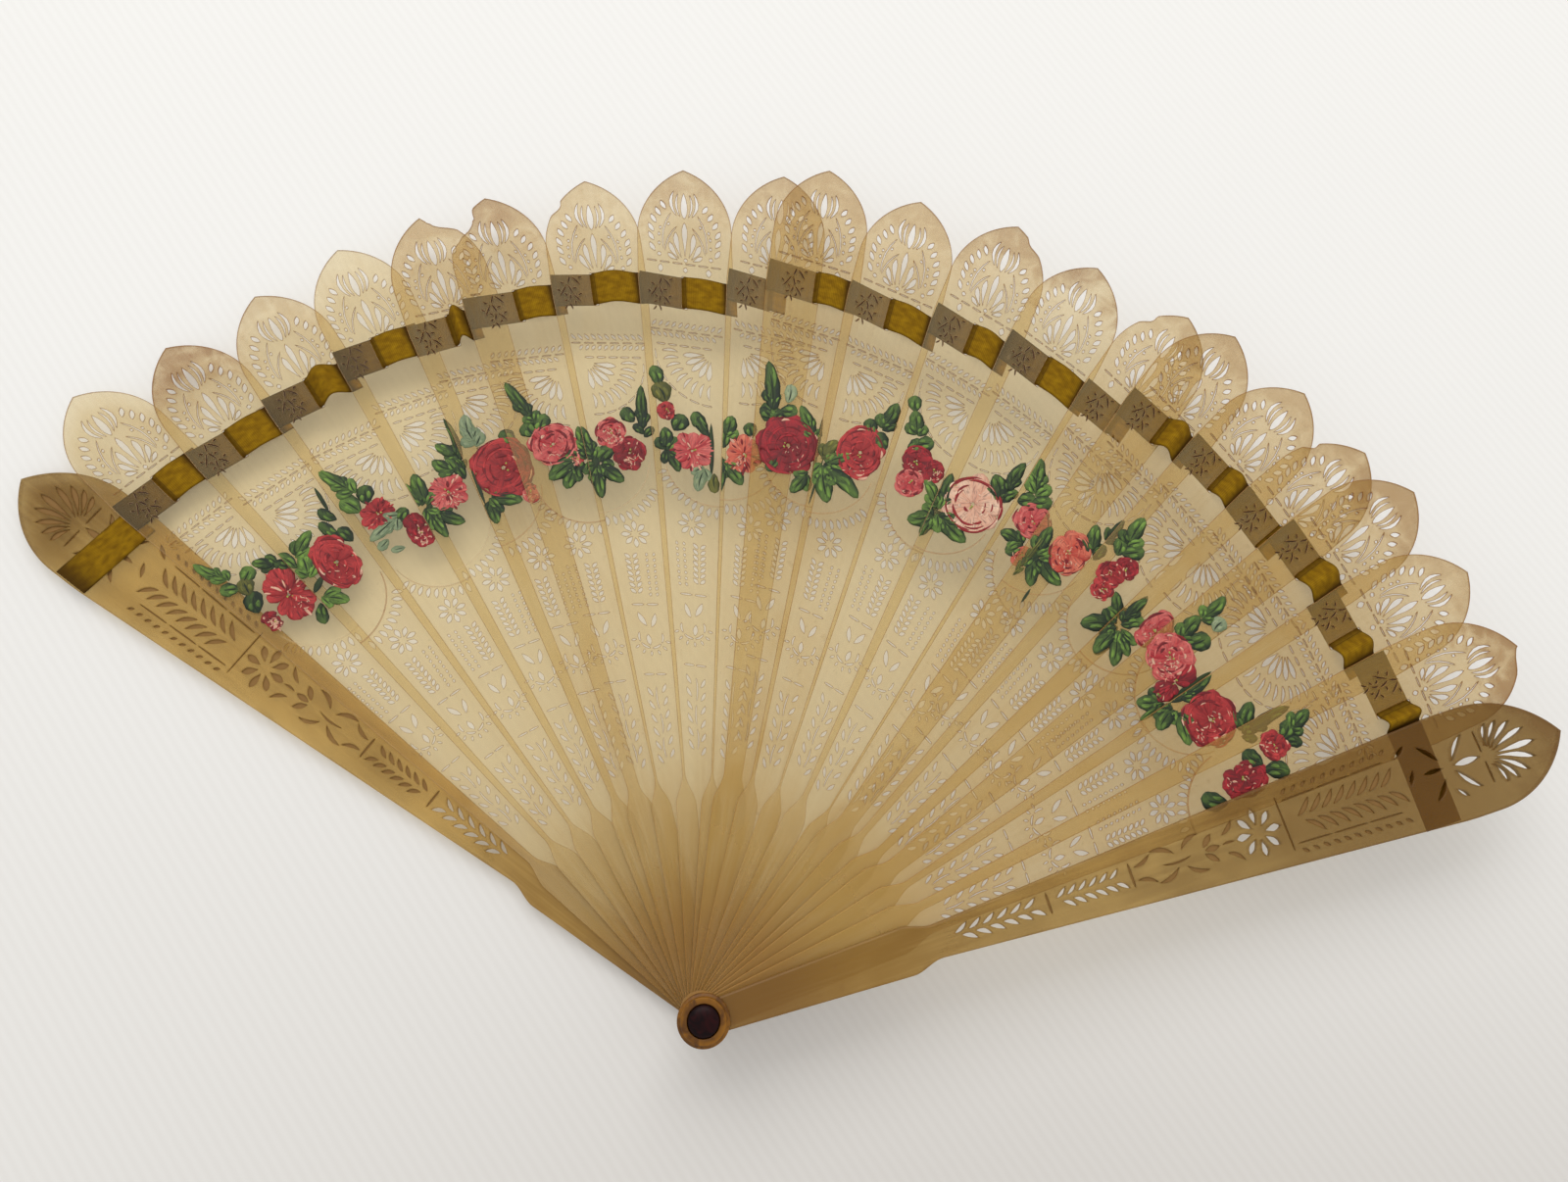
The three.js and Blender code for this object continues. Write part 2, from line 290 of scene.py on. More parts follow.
@dataclass
class Shell:
    """A closed surface in a stick's axes, with the attributes that its material reads."""

    points: Array
    faces: list[list[int]]
    floats: dict[str, Array] = field(default_factory=dict)
    vectors: dict[str, Array] = field(default_factory=dict)

    def make(self, name: str, stand: Stand, finish: bpy.types.Material, body: str, slot: str,
             smooth: bool = True) -> bpy.types.Object:
        """Makes the shell an object that rides on a body.

        Args:
            name: The object's name.
            stand: Where its stick lies.
            finish: Its material.
            body: The frame's body that carries it.
            slot: The record's material slot that it stands for; not used.
            smooth: Whether its faces are shaded smooth.

        Returns:
            The object.
        """
        mesh = bpy.data.meshes.new(name)
        mesh.from_pydata(stand.world(self.points).tolist(), [], self.faces)
        for key, values in self.floats.items():
            mesh.attributes.new(key, "FLOAT", "POINT").data.foreach_set("value", values.astype(np.float32))
        for key, values in {PLACE: self.points, **self.vectors}.items():
            layer = mesh.attributes.new(key, "FLOAT_VECTOR", "POINT")
            layer.data.foreach_set("vector", values.astype(np.float32).ravel())
        weld(mesh)
        mesh.polygons.foreach_set("use_smooth", np.full(len(mesh.polygons), smooth))
        mesh.materials.append(finish)
        made = put(name, mesh)
        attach(made, body)
        log.info("%s: %d faces on %s", name, len(mesh.polygons), body)
        return made


def put(name: str, data: bpy.types.ID) -> bpy.types.Object:
    """Makes an object of a mesh, camera or light and puts it into the scene."""
    made = bpy.data.objects.new(name, data)
    bpy.context.scene.collection.objects.link(made)
    return made


def weld(mesh: bpy.types.Mesh) -> None:
    """Joins points that coincide and drops faces that vanish, so that a surface closes."""
    work = bmesh.new()
    work.from_mesh(mesh)
    bmesh.ops.remove_doubles(work, verts=work.verts, dist=WELD)
    bmesh.ops.dissolve_degenerate(work, dist=WELD / 10, edges=work.edges)
    work.to_mesh(mesh)
    work.free()
    mesh.validate()


def grid_faces(rows: int, columns: int, start: int = 0, flip: bool = False) -> Array:
    """Returns the quads of a grid of points that is numbered row by row from start."""
    row, column = np.meshgrid(np.arange(rows - 1), np.arange(columns - 1), indexing="ij")
    corner = (start + row * columns + column).ravel()
    quads = np.stack([corner, corner + 1, corner + columns + 1, corner + columns], axis=1)
    return quads[:, ::-1] if flip else quads


def unit(vectors: Array) -> Array:
    """Returns vectors, held on the last axis, scaled to length 1."""
    return vectors / np.maximum(np.linalg.norm(vectors, axis=-1, keepdims=True), 1e-9)


def heading(angle: Union[float, Array]) -> Array:
    """Returns the unit vectors at these angles in radians, on a new last axis."""
    return np.stack([np.cos(angle), np.sin(angle)], axis=-1)


def leftward(vectors: Array) -> Array:
    """Returns vectors, held on the last axis, turned a quarter to their left."""
    return np.stack([-vectors[..., 1], vectors[..., 0]], axis=-1)


def smooth(share: Array) -> Array:
    """Eases a share from 0 to 1, flat at both ends."""
    return share * share * (3 - 2 * share)


def bell(offset: Array, width: float) -> Array:
    """Returns a bell curve that is 1 where the offset is 0 and 1/e at the width."""
    return np.exp(-((offset / width) ** 2))


def outward(loop: Array) -> Array:
    """Returns each point's outward normal on an anticlockwise loop: the mean of its two sides' normals."""
    normal = unit(-leftward(np.roll(loop, -1, axis=0) - loop))
    mean = normal + np.roll(normal, 1, axis=0)
    return mean / np.maximum((mean * mean).sum(axis=1, keepdims=True) / 2, 0.5)


def area(loop: Array) -> float:
    """Returns a loop's signed area, which is positive where it runs anticlockwise."""
    following = np.roll(loop, -1, axis=0)
    return float((loop[:, 0] * following[:, 1] - loop[:, 1] * following[:, 0]).sum() / 2)


@dataclass(frozen=True)
class Plate:
    """A flat plate with holes and shallow pits, whose rims are chamfered.

    A through rim drops by a share of the thickness, up to a most, and a pit's rim by a share of the pit's depth.
    """

    thickness: float
    rim: float = 0.16
    cut_rim: float = 0.11
    pit_depth: float = 0.2
    drop_share: float = 0.35
    most_drop: float = 0.14
    pit_drop_share: float = 0.4

    def shell(self, outline: Array, cuts: Sequence[Array], pits: Sequence[Array] = ()) -> Shell:
        """Fills the ring between an outline, its cuts and its pits.

        A through rim is four rings of points: the face's edge, set back from the wall by the rim's width, the
        wall's top and bottom, and the other face's edge. A pit has the face's edge, the wall's top and the floor.
        The faces are triangles between the face rings. Rims are marked 1 and the pits' floors 2.

        Args:
            outline: The plate's outer loop.
            cuts: The loops of its holes.
            pits: The loops of its pits, which are sunk into the upper face.

        Returns:
            The closed plate, with its rims marked.
        """
        loops = [loop if area(loop) > 0 else loop[::-1] for loop in [outline, *cuts, *pits]]
        back = [-self.rim] + [self.cut_rim] * (len(loops) - 1)
        edges = [loop + outward(loop) * step for loop, step in zip(loops, back)]
        through = 1 + len(cuts)
        high, high_faces = self._fill(edges)
        low, low_faces = self._fill(edges[:through])
        top = self.thickness
        points = [np.column_stack([high, np.full(len(high), top)]), np.column_stack([low, np.zeros(len(low))])]
        marks = [np.zeros(len(high) + len(low))]
        faces = high_faces.tolist() + (low_faces[:, ::-1] + len(high)).tolist()
        start = len(high) + len(low)
        drop = min(self.drop_share * top, self.most_drop)
        ledge = top - self.pit_drop_share * self.pit_depth
        for number, (loop, edge) in enumerate(zip(loops, edges)):
            size = len(loop) + 1
            if number < through:
                rings = [(edge, top, 0), (loop, top - drop, 1), (loop, drop, 1), (edge, 0.0, 0)]
            else:
                rings = [(edge, top, 0), (loop, ledge, 1), (loop, top - self.pit_depth, 2)]
                faces.append(list(range(start + 2 * size, start + 3 * size - 1)))
            points += [np.column_stack([np.vstack([ring, ring[:1]]), np.full(size, w)]) for ring, w, _ in rings]
            marks += [np.full(size, mark) for _, _, mark in rings]
            faces += grid_faces(len(rings), size, start, flip=number == 0).tolist()
            start += len(rings) * size
        return Shell(np.vstack(points), faces, {RIM: np.concatenate(marks).astype(float)})

    @staticmethod
    def _fill(loops: Sequence[Array]) -> tuple[Array, Array]:
        """Triangulates the first loop less the others.

        Args:
            loops: The outer loop, then the holes.

        Returns:
            The flat points and the triangles.
        """
        sizes = [len(loop) for loop in loops]
        starts = np.cumsum([0] + sizes[:-1])
        rings = [list(range(start, start + size)) for start, size in zip(starts, sizes)]
        points = [Vector(point) for point in np.vstack(loops).tolist()]
        found = delaunay_2d_cdt(points, [], rings, 1, 1e-5, True)
        kept = [face for face, owners in zip(found[2], found[5]) if list(owners) == [0]]
        return np.array([tuple(point) for point in found[0]]), np.array(kept)


@dataclass(frozen=True)
class StickOutline:
    """A stick's outline, from the round head on the pivot to the pointed tip."""

    reach: float
    arch_length: float
    head_radius: float = 4.0
    neck_half_width: float = 2.6
    gorge_end: float = 34.0
    gorge_half_width: float = 4.1
    shoulder_length: float = 5.5
    shoulder_half_width: float = 2.7
    flank_end: float = 130.0
    flank_half_width: float = 8.9
    tip_half_width: float = 9.2
    head_steps: int = 32
    side_steps: tuple[int, int, int, int] = (11, 12, 45, 29)

    def neck(self) -> float:
        """How far from the pivot the round head meets the sides."""
        return math.sqrt(self.head_radius**2 - self.neck_half_width**2)

    def half_width(self, u: Array) -> Array:
        """Half the stick's width at a distance from the pivot.

        The gorge and the flank widen evenly and a smooth step joins them at the shoulder. The flank swells into
        the tip, a pointed arch of radius (half width squared + length squared) / twice the half width.

        Args:
            u: Distances from the pivot.

        Returns:
            Half the width at each.
        """
        flank_start = self.gorge_end + self.shoulder_length
        gorge = np.interp(u, [self.neck(), flank_start], [self.neck_half_width, self.gorge_half_width])
        slope = (self.flank_half_width - self.shoulder_half_width) / (self.flank_end - flank_start)
        flank = self.shoulder_half_width + slope * (u - flank_start)
        share = np.clip((u - self.gorge_end) / self.shoulder_length, 0, 1)
        body = gorge + (np.minimum(flank, self.tip_half_width) - gorge) * smooth(share)
        spring = self.reach - self.arch_length
        radius = (self.tip_half_width**2 + self.arch_length**2) / (2 * self.tip_half_width)
        rise = np.clip(u - spring, 0, self.arch_length)
        arch = self.tip_half_width - radius + np.sqrt(radius**2 - rise**2)
        return np.where(u > spring, arch, body)

    def loop(self, chips: Sequence[tuple[float, float, float]] = ()) -> Array:
        """Returns the outline, anticlockwise.

        Each side has side_steps stretches along its gorge, shoulder, flank and arch.

        Args:
            chips: Bites out of the edge, as (u, side, depth): each pulls the edge in over a short stretch.

        Returns:
            The loop as (u, v).
        """
        flank_start = self.gorge_end + self.shoulder_length
        ends = (self.neck(), self.gorge_end, flank_start, self.reach - self.arch_length, self.reach)
        u = np.concatenate([np.linspace(start, end, steps, endpoint=False)
                            for start, end, steps in zip(ends, ends[1:], self.side_steps)])
        width = self.half_width(u)
        right, left = width.copy(), width.copy()
        for place, side, depth in chips:
            bite = depth * np.clip(1.25 - np.abs(u - place) / (0.6 + 0.7 * depth), 0, 1)
            (left if side > 0 else right)[:] -= bite
        start = math.asin(self.neck_half_width / self.head_radius)
        head = self.head_radius * heading(np.linspace(start, 2 * np.pi - start, self.head_steps + 1)[1:-1])
        tip = np.array([[self.reach, 0.0]])
        return np.vstack([np.column_stack([u, -right]), tip, np.column_stack([u, left])[::-1], head])


def strokes(rows: Array, power: float = 0.8, steps: int = 7) -> list[Array]:
    """Makes the loops of leaf-shaped cuts.

    Each row is (u, v) of one end, (u, v) of the other, half width, bend and belly. The spine is the straight
    line plus the bend times 4 t (1 - t) to its left. The half width at t is the sine of pi t ** belly, raised
    to the power: small powers give slits with blunt ends.

    Args:
        rows: One row for each cut.
        power: How full the cuts are.
        steps: Stretches along each side.

    Returns:
        The loops, each a ring of (u, v).
    """
    rows = np.atleast_2d(np.asarray(rows, float))
    t = (1 - np.cos(np.linspace(0, np.pi, steps + 1))) / 2
    t = t[None, :, None]
    start, end = rows[:, None, 0:2], rows[:, None, 2:4]
    along = end - start
    across = unit(leftward(along))
    bend, belly = rows[:, None, 5:6], rows[:, None, 6:7]
    spine = start + along * t + across * bend * 4 * t * (1 - t)
    half = rows[:, None, 4:5] * np.clip(np.sin(np.pi * t**belly), 0, 1) ** power
    left = spine + across * half
    right = (spine - across * half)[:, ::-1][:, 1:-1]
    return list(np.concatenate([left, right], axis=1))


def fan_of(count: int, centre: tuple[float, float], radii: tuple[float, float], turns: tuple[float, float],
           half_width: float, bend: float = 0.0, belly: float = 1.0) -> Array:
    """Rows of strokes that radiate from a centre, at even angles between two, given in degrees.

    Args:
        count: How many strokes.
        centre: The centre as (u, v).
        radii: How far from it they start and end.
        turns: The first and last angle.
        half_width: Half of one stroke's width.
        bend: Its bend, as for strokes.
        belly: Its belly, as for strokes.

    Returns:
        The rows.
    """
    ray = heading(np.radians(np.linspace(turns[0], turns[1], count)))
    ends = [np.array(centre) + ray * radius for radius in radii]
    return np.hstack([*ends, np.tile([half_width, bend, belly], (count, 1))])


def row_of(count: int, start: tuple[float, float], end: tuple[float, float], reach: tuple[float, float],
           half_width: float, bend: float = 0.0) -> Array:
    """Rows of equal strokes whose first ends stand evenly from start to end; reach is each stroke's (u, v)."""
    first = np.linspace(start, end, count)
    return np.hstack([first, first + np.array(reach), np.tile([half_width, bend, 1.0], (count, 1))])


def arc_of(count: int, centre: tuple[float, float], radius: float, turns: tuple[float, float],
           half_width: float, share: float = 0.78) -> Array:
    """Rows of strokes that follow an arc, end to end, with small bridges left between them.

    Args:
        count: How many strokes.
        centre: The arc's centre as (u, v).
        radius: Its radius.
        turns: Its first and last angle in degrees.
        half_width: Half of one stroke's width.
        share: The share of the arc that the strokes take up.

    Returns:
        The rows.
    """
    step = math.radians(turns[1] - turns[0]) / count
    middle = math.radians(turns[0]) + step * (np.arange(count) + 0.5)
    half = step * share / 2
    ends = [heading(middle + side) * radius + np.array(centre) for side in (-half, half)]
    bend = -math.copysign(radius * (1 - math.cos(half)), step)
    return np.hstack([*ends, np.tile([half_width, bend, 1.0], (count, 1))])


def both_sides(rows: Array) -> Array:
    """The rows and their mirror images across the stick's middle."""
    rows = np.atleast_2d(np.asarray(rows, float))
    return np.vstack([rows, rows * np.array([1, -1, 1, -1, 1, -1, 1])])


@dataclass(frozen=True)
class BladePattern:
    """The piercing of a blade, drawn for a right half; a left half has its hub on the other edge."""

    left_half: bool
    slant: float
    hub: tuple[float, float] = (98.4, 5.5)
    margin: float = 0.42
    fanlight_hub: tuple[float, float] = (118.6, 4.6)

    def tip(self) -> tuple[Array, Array]:
        """The tulip, its sprays and the palmette; returns leaf rows and slit rows."""
        spray = np.array([[140.2, 6.3], [142.5, 6.5], [144.4, 6.5], [146.4, 6.0], [148.1, 5.1], [149.7, 4.1]])
        lean = np.array([0.86, 0.5]) * 0.95
        rest = np.tile([0.42, 0.06, 1.0], (len(spray), 1))
        leaves = [
            [[147.2, 0, 152.7, 0, 0.62, 0, 0.8]],
            both_sides(np.hstack([spray - lean, spray + lean, rest])),
            both_sides([[147.7, 1.5, 153.0, 1.95, 0.28, 0.85, 1.0], [147.5, 0.8, 152.5, 1.15, 0.16, 0.55, 1.0],
                        [138.4, 4.9, 139.2, 5.1, 0.36, 0, 1.0], [140.8, 5.0, 141.5, 5.0, 0.22, 0, 1.0],
                        [142.8, 5.0, 143.5, 4.95, 0.22, 0, 1.0], [144.3, 4.8, 144.9, 4.65, 0.22, 0, 1.0],
                        [145.3, 3.2, 145.9, 3.0, 0.22, 0, 1.0]]),
            [[138.8, 0, 146.2, 0, 0.52, 0, 2.0], [137.6, 0.1, 138.4, 0.1, 0.34, 0, 1.0]],
            both_sides([[138.6, 0.7, 143.9, 1.75, 0.5, 0.3, 2.0], [138.3, 1.2, 141.6, 2.95, 0.48, 0.25, 1.8],
                        [138.0, 1.5, 139.2, 3.3, 0.42, 0.1, 1.6]]),
            [[135.1, 4.5, 136.6, 4.5, 0.5, 0, 1.0], [135.4, 0, 136.4, 0, 0.4, 0, 1.0],
             [135.0, -4.8, 136.6, -4.8, 0.45, 0, 1.0]],
        ]
        slits = [
            both_sides([[140.0, 4.15, 148.1, 2.6, 0.1, 0.75, 1.0], [139.7, 3.9, 145.2, 1.5, 0.09, 0.5, 1.0]]),
            row_of(6, (137.2, -7.4), (137.2, 5.0), (0.0, 1.9), 0.08),
        ]
        return np.vstack(leaves), np.vstack(slits)

    @staticmethod
    def coral(centre: float, slot: float) -> list[Array]:
        """The loops of the coral twig carved over the ribbon, left of its slot; the twigs keep just apart."""
        twigs = np.array([
            [3.4, 4.4, 1.9, 4.9], [3.1, 4.0, 1.2, 2.6], [2.75, 2.85, 2.9, 2.1], [1.6, 5.2, -0.6, 6.6],
            [1.9, 5.6, 2.4, 6.3], [0.5, 6.4, 0.9, 7.0], [-0.2, 5.7, -0.9, 5.2], [1.5, 4.9, -0.3, 4.3],
            [0.7, 4.1, 0.6, 3.3], [-0.6, 4.1, -2.4, 2.8], [-1.0, 3.1, -0.6, 2.4], [-1.9, 3.8, -2.6, 4.0],
            [-0.5, 4.6, -1.8, 4.95], [-1.5, 5.3, -1.8, 5.9], [-2.35, 5.0, -3.7, 4.5], [-2.6, 5.4, -3.4, 6.0],
        ])
        shape = np.tile([0.13, 0.1, 1.0], (len(twigs), 1))
        return strokes(np.hstack([twigs + np.array([centre, slot, centre, slot]), shape]), 0.5, 5)

    def fanlight(self) -> tuple[Array, Array]:
        """The columns of ticks, the fanlight's rays, bar and rings; returns leaf rows and slit rows."""
        hub = self.fanlight_hub
        leaves = [
            row_of(11, (123.4, -6.6), (123.4, 5.9), (1.1, 0.75), 0.24),
            row_of(11, (121.3, -6.2), (121.3, 5.4), (0.9, -0.6), 0.26),
            fan_of(5, hub, (1.5, 5.5), (188.0, 262.0), 0.5, 0.0, 1.7),
            fan_of(9, hub, (6.5, 9.4), (184.0, 268.0), 0.26, 0.3),
        ]
        slits = [
            arc_of(7, hub, 10.7, (180.0, 270.0), 0.09),
            row_of(5, (119.7, 4.6), (119.7, -4.2), (0.0, -1.6), 0.12),
            row_of(6, (122.7, -6.9), (122.7, 5.1), (0.0, 1.7), 0.07),
        ]
        return np.vstack(leaves), np.vstack(slits)

    def gorge(self) -> tuple[Array, Array]:
        """What lies below the painted band: a ring of leaves, a daisy, a herringbone and two scrolls."""
        leaves = [
            fan_of(10, self.hub, (10.8, 12.6), (184.0, 246.0), 0.36, 0.1),
            fan_of(8, (84.2, 0.0), (0.75, 2.5), (0.0, 315.0), 0.42, 0.0, 1.3),
            row_of(7, (73.0, 1.3), (79.6, 1.5), (0.8, 0.9), 0.3),
            row_of(7, (73.0, 0.9), (79.6, 1.0), (0.9, -0.8), 0.3),
            row_of(8, (72.4, -1.1), (80.0, -1.4), (0.55, -0.2), 0.2),
            row_of(8, (72.4, -2.3), (80.0, -2.7), (0.55, -0.2), 0.2),
            fan_of(7, (64.8, -0.2), (2.7, 3.5), (100.0, 250.0), 0.16),
            [[66.9, 0.3, 69.3, 1.5, 0.42, 0.1, 1.0], [66.6, -0.6, 69.0, -1.5, 0.38, -0.1, 1.0],
             [63.3, 0.1, 65.2, 0.3, 0.4, 0, 1.0]],
            row_of(6, (42.0, 0.7), (54.0, 0.9), (1.5, 0.75), 0.26, 0.08),
            row_of(6, (43.0, -0.6), (54.6, -0.8), (1.5, -0.75), 0.26, -0.08),
        ]
        slits = [
            arc_of(4, (64.8, -0.2), 2.1, (60.0, 290.0), 0.16),
            row_of(2, (70.8, -2.3), (70.8, 0.3), (0.0, 2.0), 0.15),
            row_of(2, (57.9, -1.9), (57.9, 0.2), (0.0, 1.7), 0.14),
            [[43.0, 0.1, 46.5, 0.1, 0.1, 0.2, 1.0], [47.3, 0.1, 50.8, 0.1, 0.1, -0.2, 1.0],
             [51.6, 0.1, 55.6, 0.1, 0.1, 0.2, 1.0]],
        ]
        return np.vstack(leaves), np.vstack(slits)

    def cuts(self, outline: StickOutline, shift: float) -> list[Array]:
        """All the loops that lie inside an outline.

        Args:
            outline: The blade's outline.
            shift: How far the whole pattern stands farther out than on a blade of plain reach.

        Returns:
            The loops.
        """
        leaves, slits = zip(self.tip(), self.fanlight(), self.gorge())
        loops = strokes(np.vstack(leaves)) + strokes(np.vstack(slits), 0.4, 6)
        return [loop for loop in self.placed(loops, shift) if inside(loop, outline, self.margin)]

    def placed(self, loops: Sequence[Array], shift: float) -> list[Array]:
        """Mirrors loops on a left half, then leans and shifts them to where they stand on the blade."""
        mirrored = [loop * np.array([1.0, -1.0 if self.left_half else 1.0]) for loop in loops]
        return [loop + np.column_stack([shift + self.slant * loop[:, 1], 0 * loop[:, 1]]) for loop in mirrored]


def inside(loop: Array, outline: StickOutline, margin: float) -> bool:
    """Tells whether a loop keeps a margin from the outline's sides."""
    return bool((np.abs(loop[:, 1]) + margin < outline.half_width(loop[:, 0] + margin)).all())


@dataclass(frozen=True)
class GuardPattern:
    """The carving of a guard. Motifs named as pierced go right through the horn; the others are sunk into it."""

    shift: float
    pierced: frozenset[str]
    margin: float = 0.6

    @staticmethod
    def motifs() -> dict[str, list[Array]]:
        """The loops of each motif, from the tip to the neck."""
        lilies = [[135.3, 0.2, 140.3, 0.2, 0.6, 0, 1.0], [135.2, -0.7, 138.7, -4.6, 0.5, -0.3, 1.0],
                  [135.2, 1.0, 138.7, 4.8, 0.5, 0.3, 1.0], [134.0, -3.7, 135.6, -5.4, 0.35, 0, 1.0],
                  [129.7, 5.0, 132.7, 1.7, 0.42, 0.2, 1.0], [129.3, 0.3, 132.9, 0.3, 0.42, 0, 1.0],
                  [129.7, -4.6, 132.7, -1.5, 0.42, -0.2, 1.0], [125.2, 4.2, 127.7, 5.9, 0.36, 0, 1.0],
                  [126.2, -0.8, 127.6, 1.6, 0.36, 0, 1.0]]
        scroll = both_sides([[83.5, 1.4, 87.0, 3.0, 0.36, 0.5, 1.0], [78.0, 2.6, 82.0, 1.2, 0.38, 0.5, 1.0],
                             [74.6, 1.1, 77.8, 2.3, 0.32, -0.35, 1.0], [91.0, 1.5, 93.4, 3.4, 0.34, -0.3, 1.0]])
        stems = [[90.6, 0, 92.8, 0, 0.2, 0.1, 1.0], [79.5, 0, 84.6, 0, 0.18, -0.4, 1.0]]
        bars = [[58.9, -1.7, 58.9, 1.7, 0.2, 0, 1.0], [73.8, -2.0, 73.8, 2.0, 0.2, 0, 1.0],
                [102.2, -4.6, 102.2, 4.6, 0.12, 0, 1.0], [140.9, -4.6, 140.9, -0.8, 0.12, 0, 1.0],
                [140.9, 0.8, 140.9, 4.6, 0.12, 0, 1.0]]
        rays = [fan_of(2, (141.6, 0.0), (1.7, reach), (-turn, turn), 0.5, 0.3, 1.7)
                for turn, reach in ((17.0, 8.9), (34.0, 7.9), (51.0, 6.7), (69.0, 5.6))]
        return {
            "palmette": strokes(np.vstack([*rays, [143.6, 0.0, 151.2, 0.0, 0.55, 0.0, 1.7]])),
            "lilies": strokes(lilies),
            "fern": strokes(np.vstack([row_of(8, (105.0, 0.5), (121.0, 0.6), (2.9, 2.5), 0.4, -0.3),
                                       row_of(8, (106.0, -0.5), (122.0, -0.6), (2.9, -2.5), 0.4, 0.3)])),
            "border": strokes(np.vstack([row_of(11, (103.6, 4.7), (123.0, 5.6), (1.0, 0.75), 0.26),
                                         row_of(11, (103.6, -4.7), (123.0, -5.6), (1.0, -0.75), 0.26)])),
            "lines": strokes(np.vstack([row_of(3, (103.2, 3.7), (116.6, 4.2), (6.3, 0.22), 0.12),
                                        row_of(3, (103.2, -3.7), (116.6, -4.2), (6.3, -0.22), 0.12), bars]), 0.35),
            "daisy": strokes(fan_of(8, (97.4, 0.0), (1.2, 4.1), (0.0, 315.0), 0.62, 0.0, 1.4)),
            "scrolls": strokes(np.vstack([scroll, stems, fan_of(3, (86.6, 0.0), (0.8, 3.4), (-42.0, 42.0), 0.5)])),
            "herringbone": strokes(np.vstack([row_of(6, (60.5, 0.4), (70.0, 0.5), (2.0, 1.3), 0.34, -0.15),
                                              row_of(6, (61.4, -0.4), (70.9, -0.5), (2.0, -1.3), 0.34, 0.15)])),
            "sprig": strokes(np.vstack([row_of(6, (42.5, 0.3), (54.6, 0.4), (2.4, 1.2), 0.36, -0.2),
                                        row_of(6, (43.6, -0.3), (55.6, -0.4), (2.4, -1.2), 0.36, 0.2)])),
        }

    def carved(self, outline: StickOutline, side: float) -> tuple[list[Array], list[Array]]:
        """Picks the loops that lie inside an outline, and tells apart those that go through and those sunk.

        Args:
            outline: The stick's outline.
            side: 1, or -1 for the mirror image.

        Returns:
            The loops that go through, then those that are sunk.
        """
        through, sunk = [], []
        for name, loops in self.motifs().items():
            place = [(loop + np.array([self.shift, 0.0])) * np.array([1.0, side]) for loop in loops]
            (through if name in self.pierced else sunk).extend(x for x in place if inside(x, outline, self.margin))
        return through, sunk


@dataclass(frozen=True)
class RibbonLay:
    """How the ribbon lies on one blade.

    Its centre at the slot, the slot's place across the blade, how much the ribbon slants over it, and how high
    it arches over the blade's bare half.
    """

    centre: float
    slot: float
    slant: float
    arch: float

    def middle(self, v: Array) -> Array:
        """Where the ribbon's middle lies at each v, as u."""
        return self.centre + self.slant * (v - self.slot)


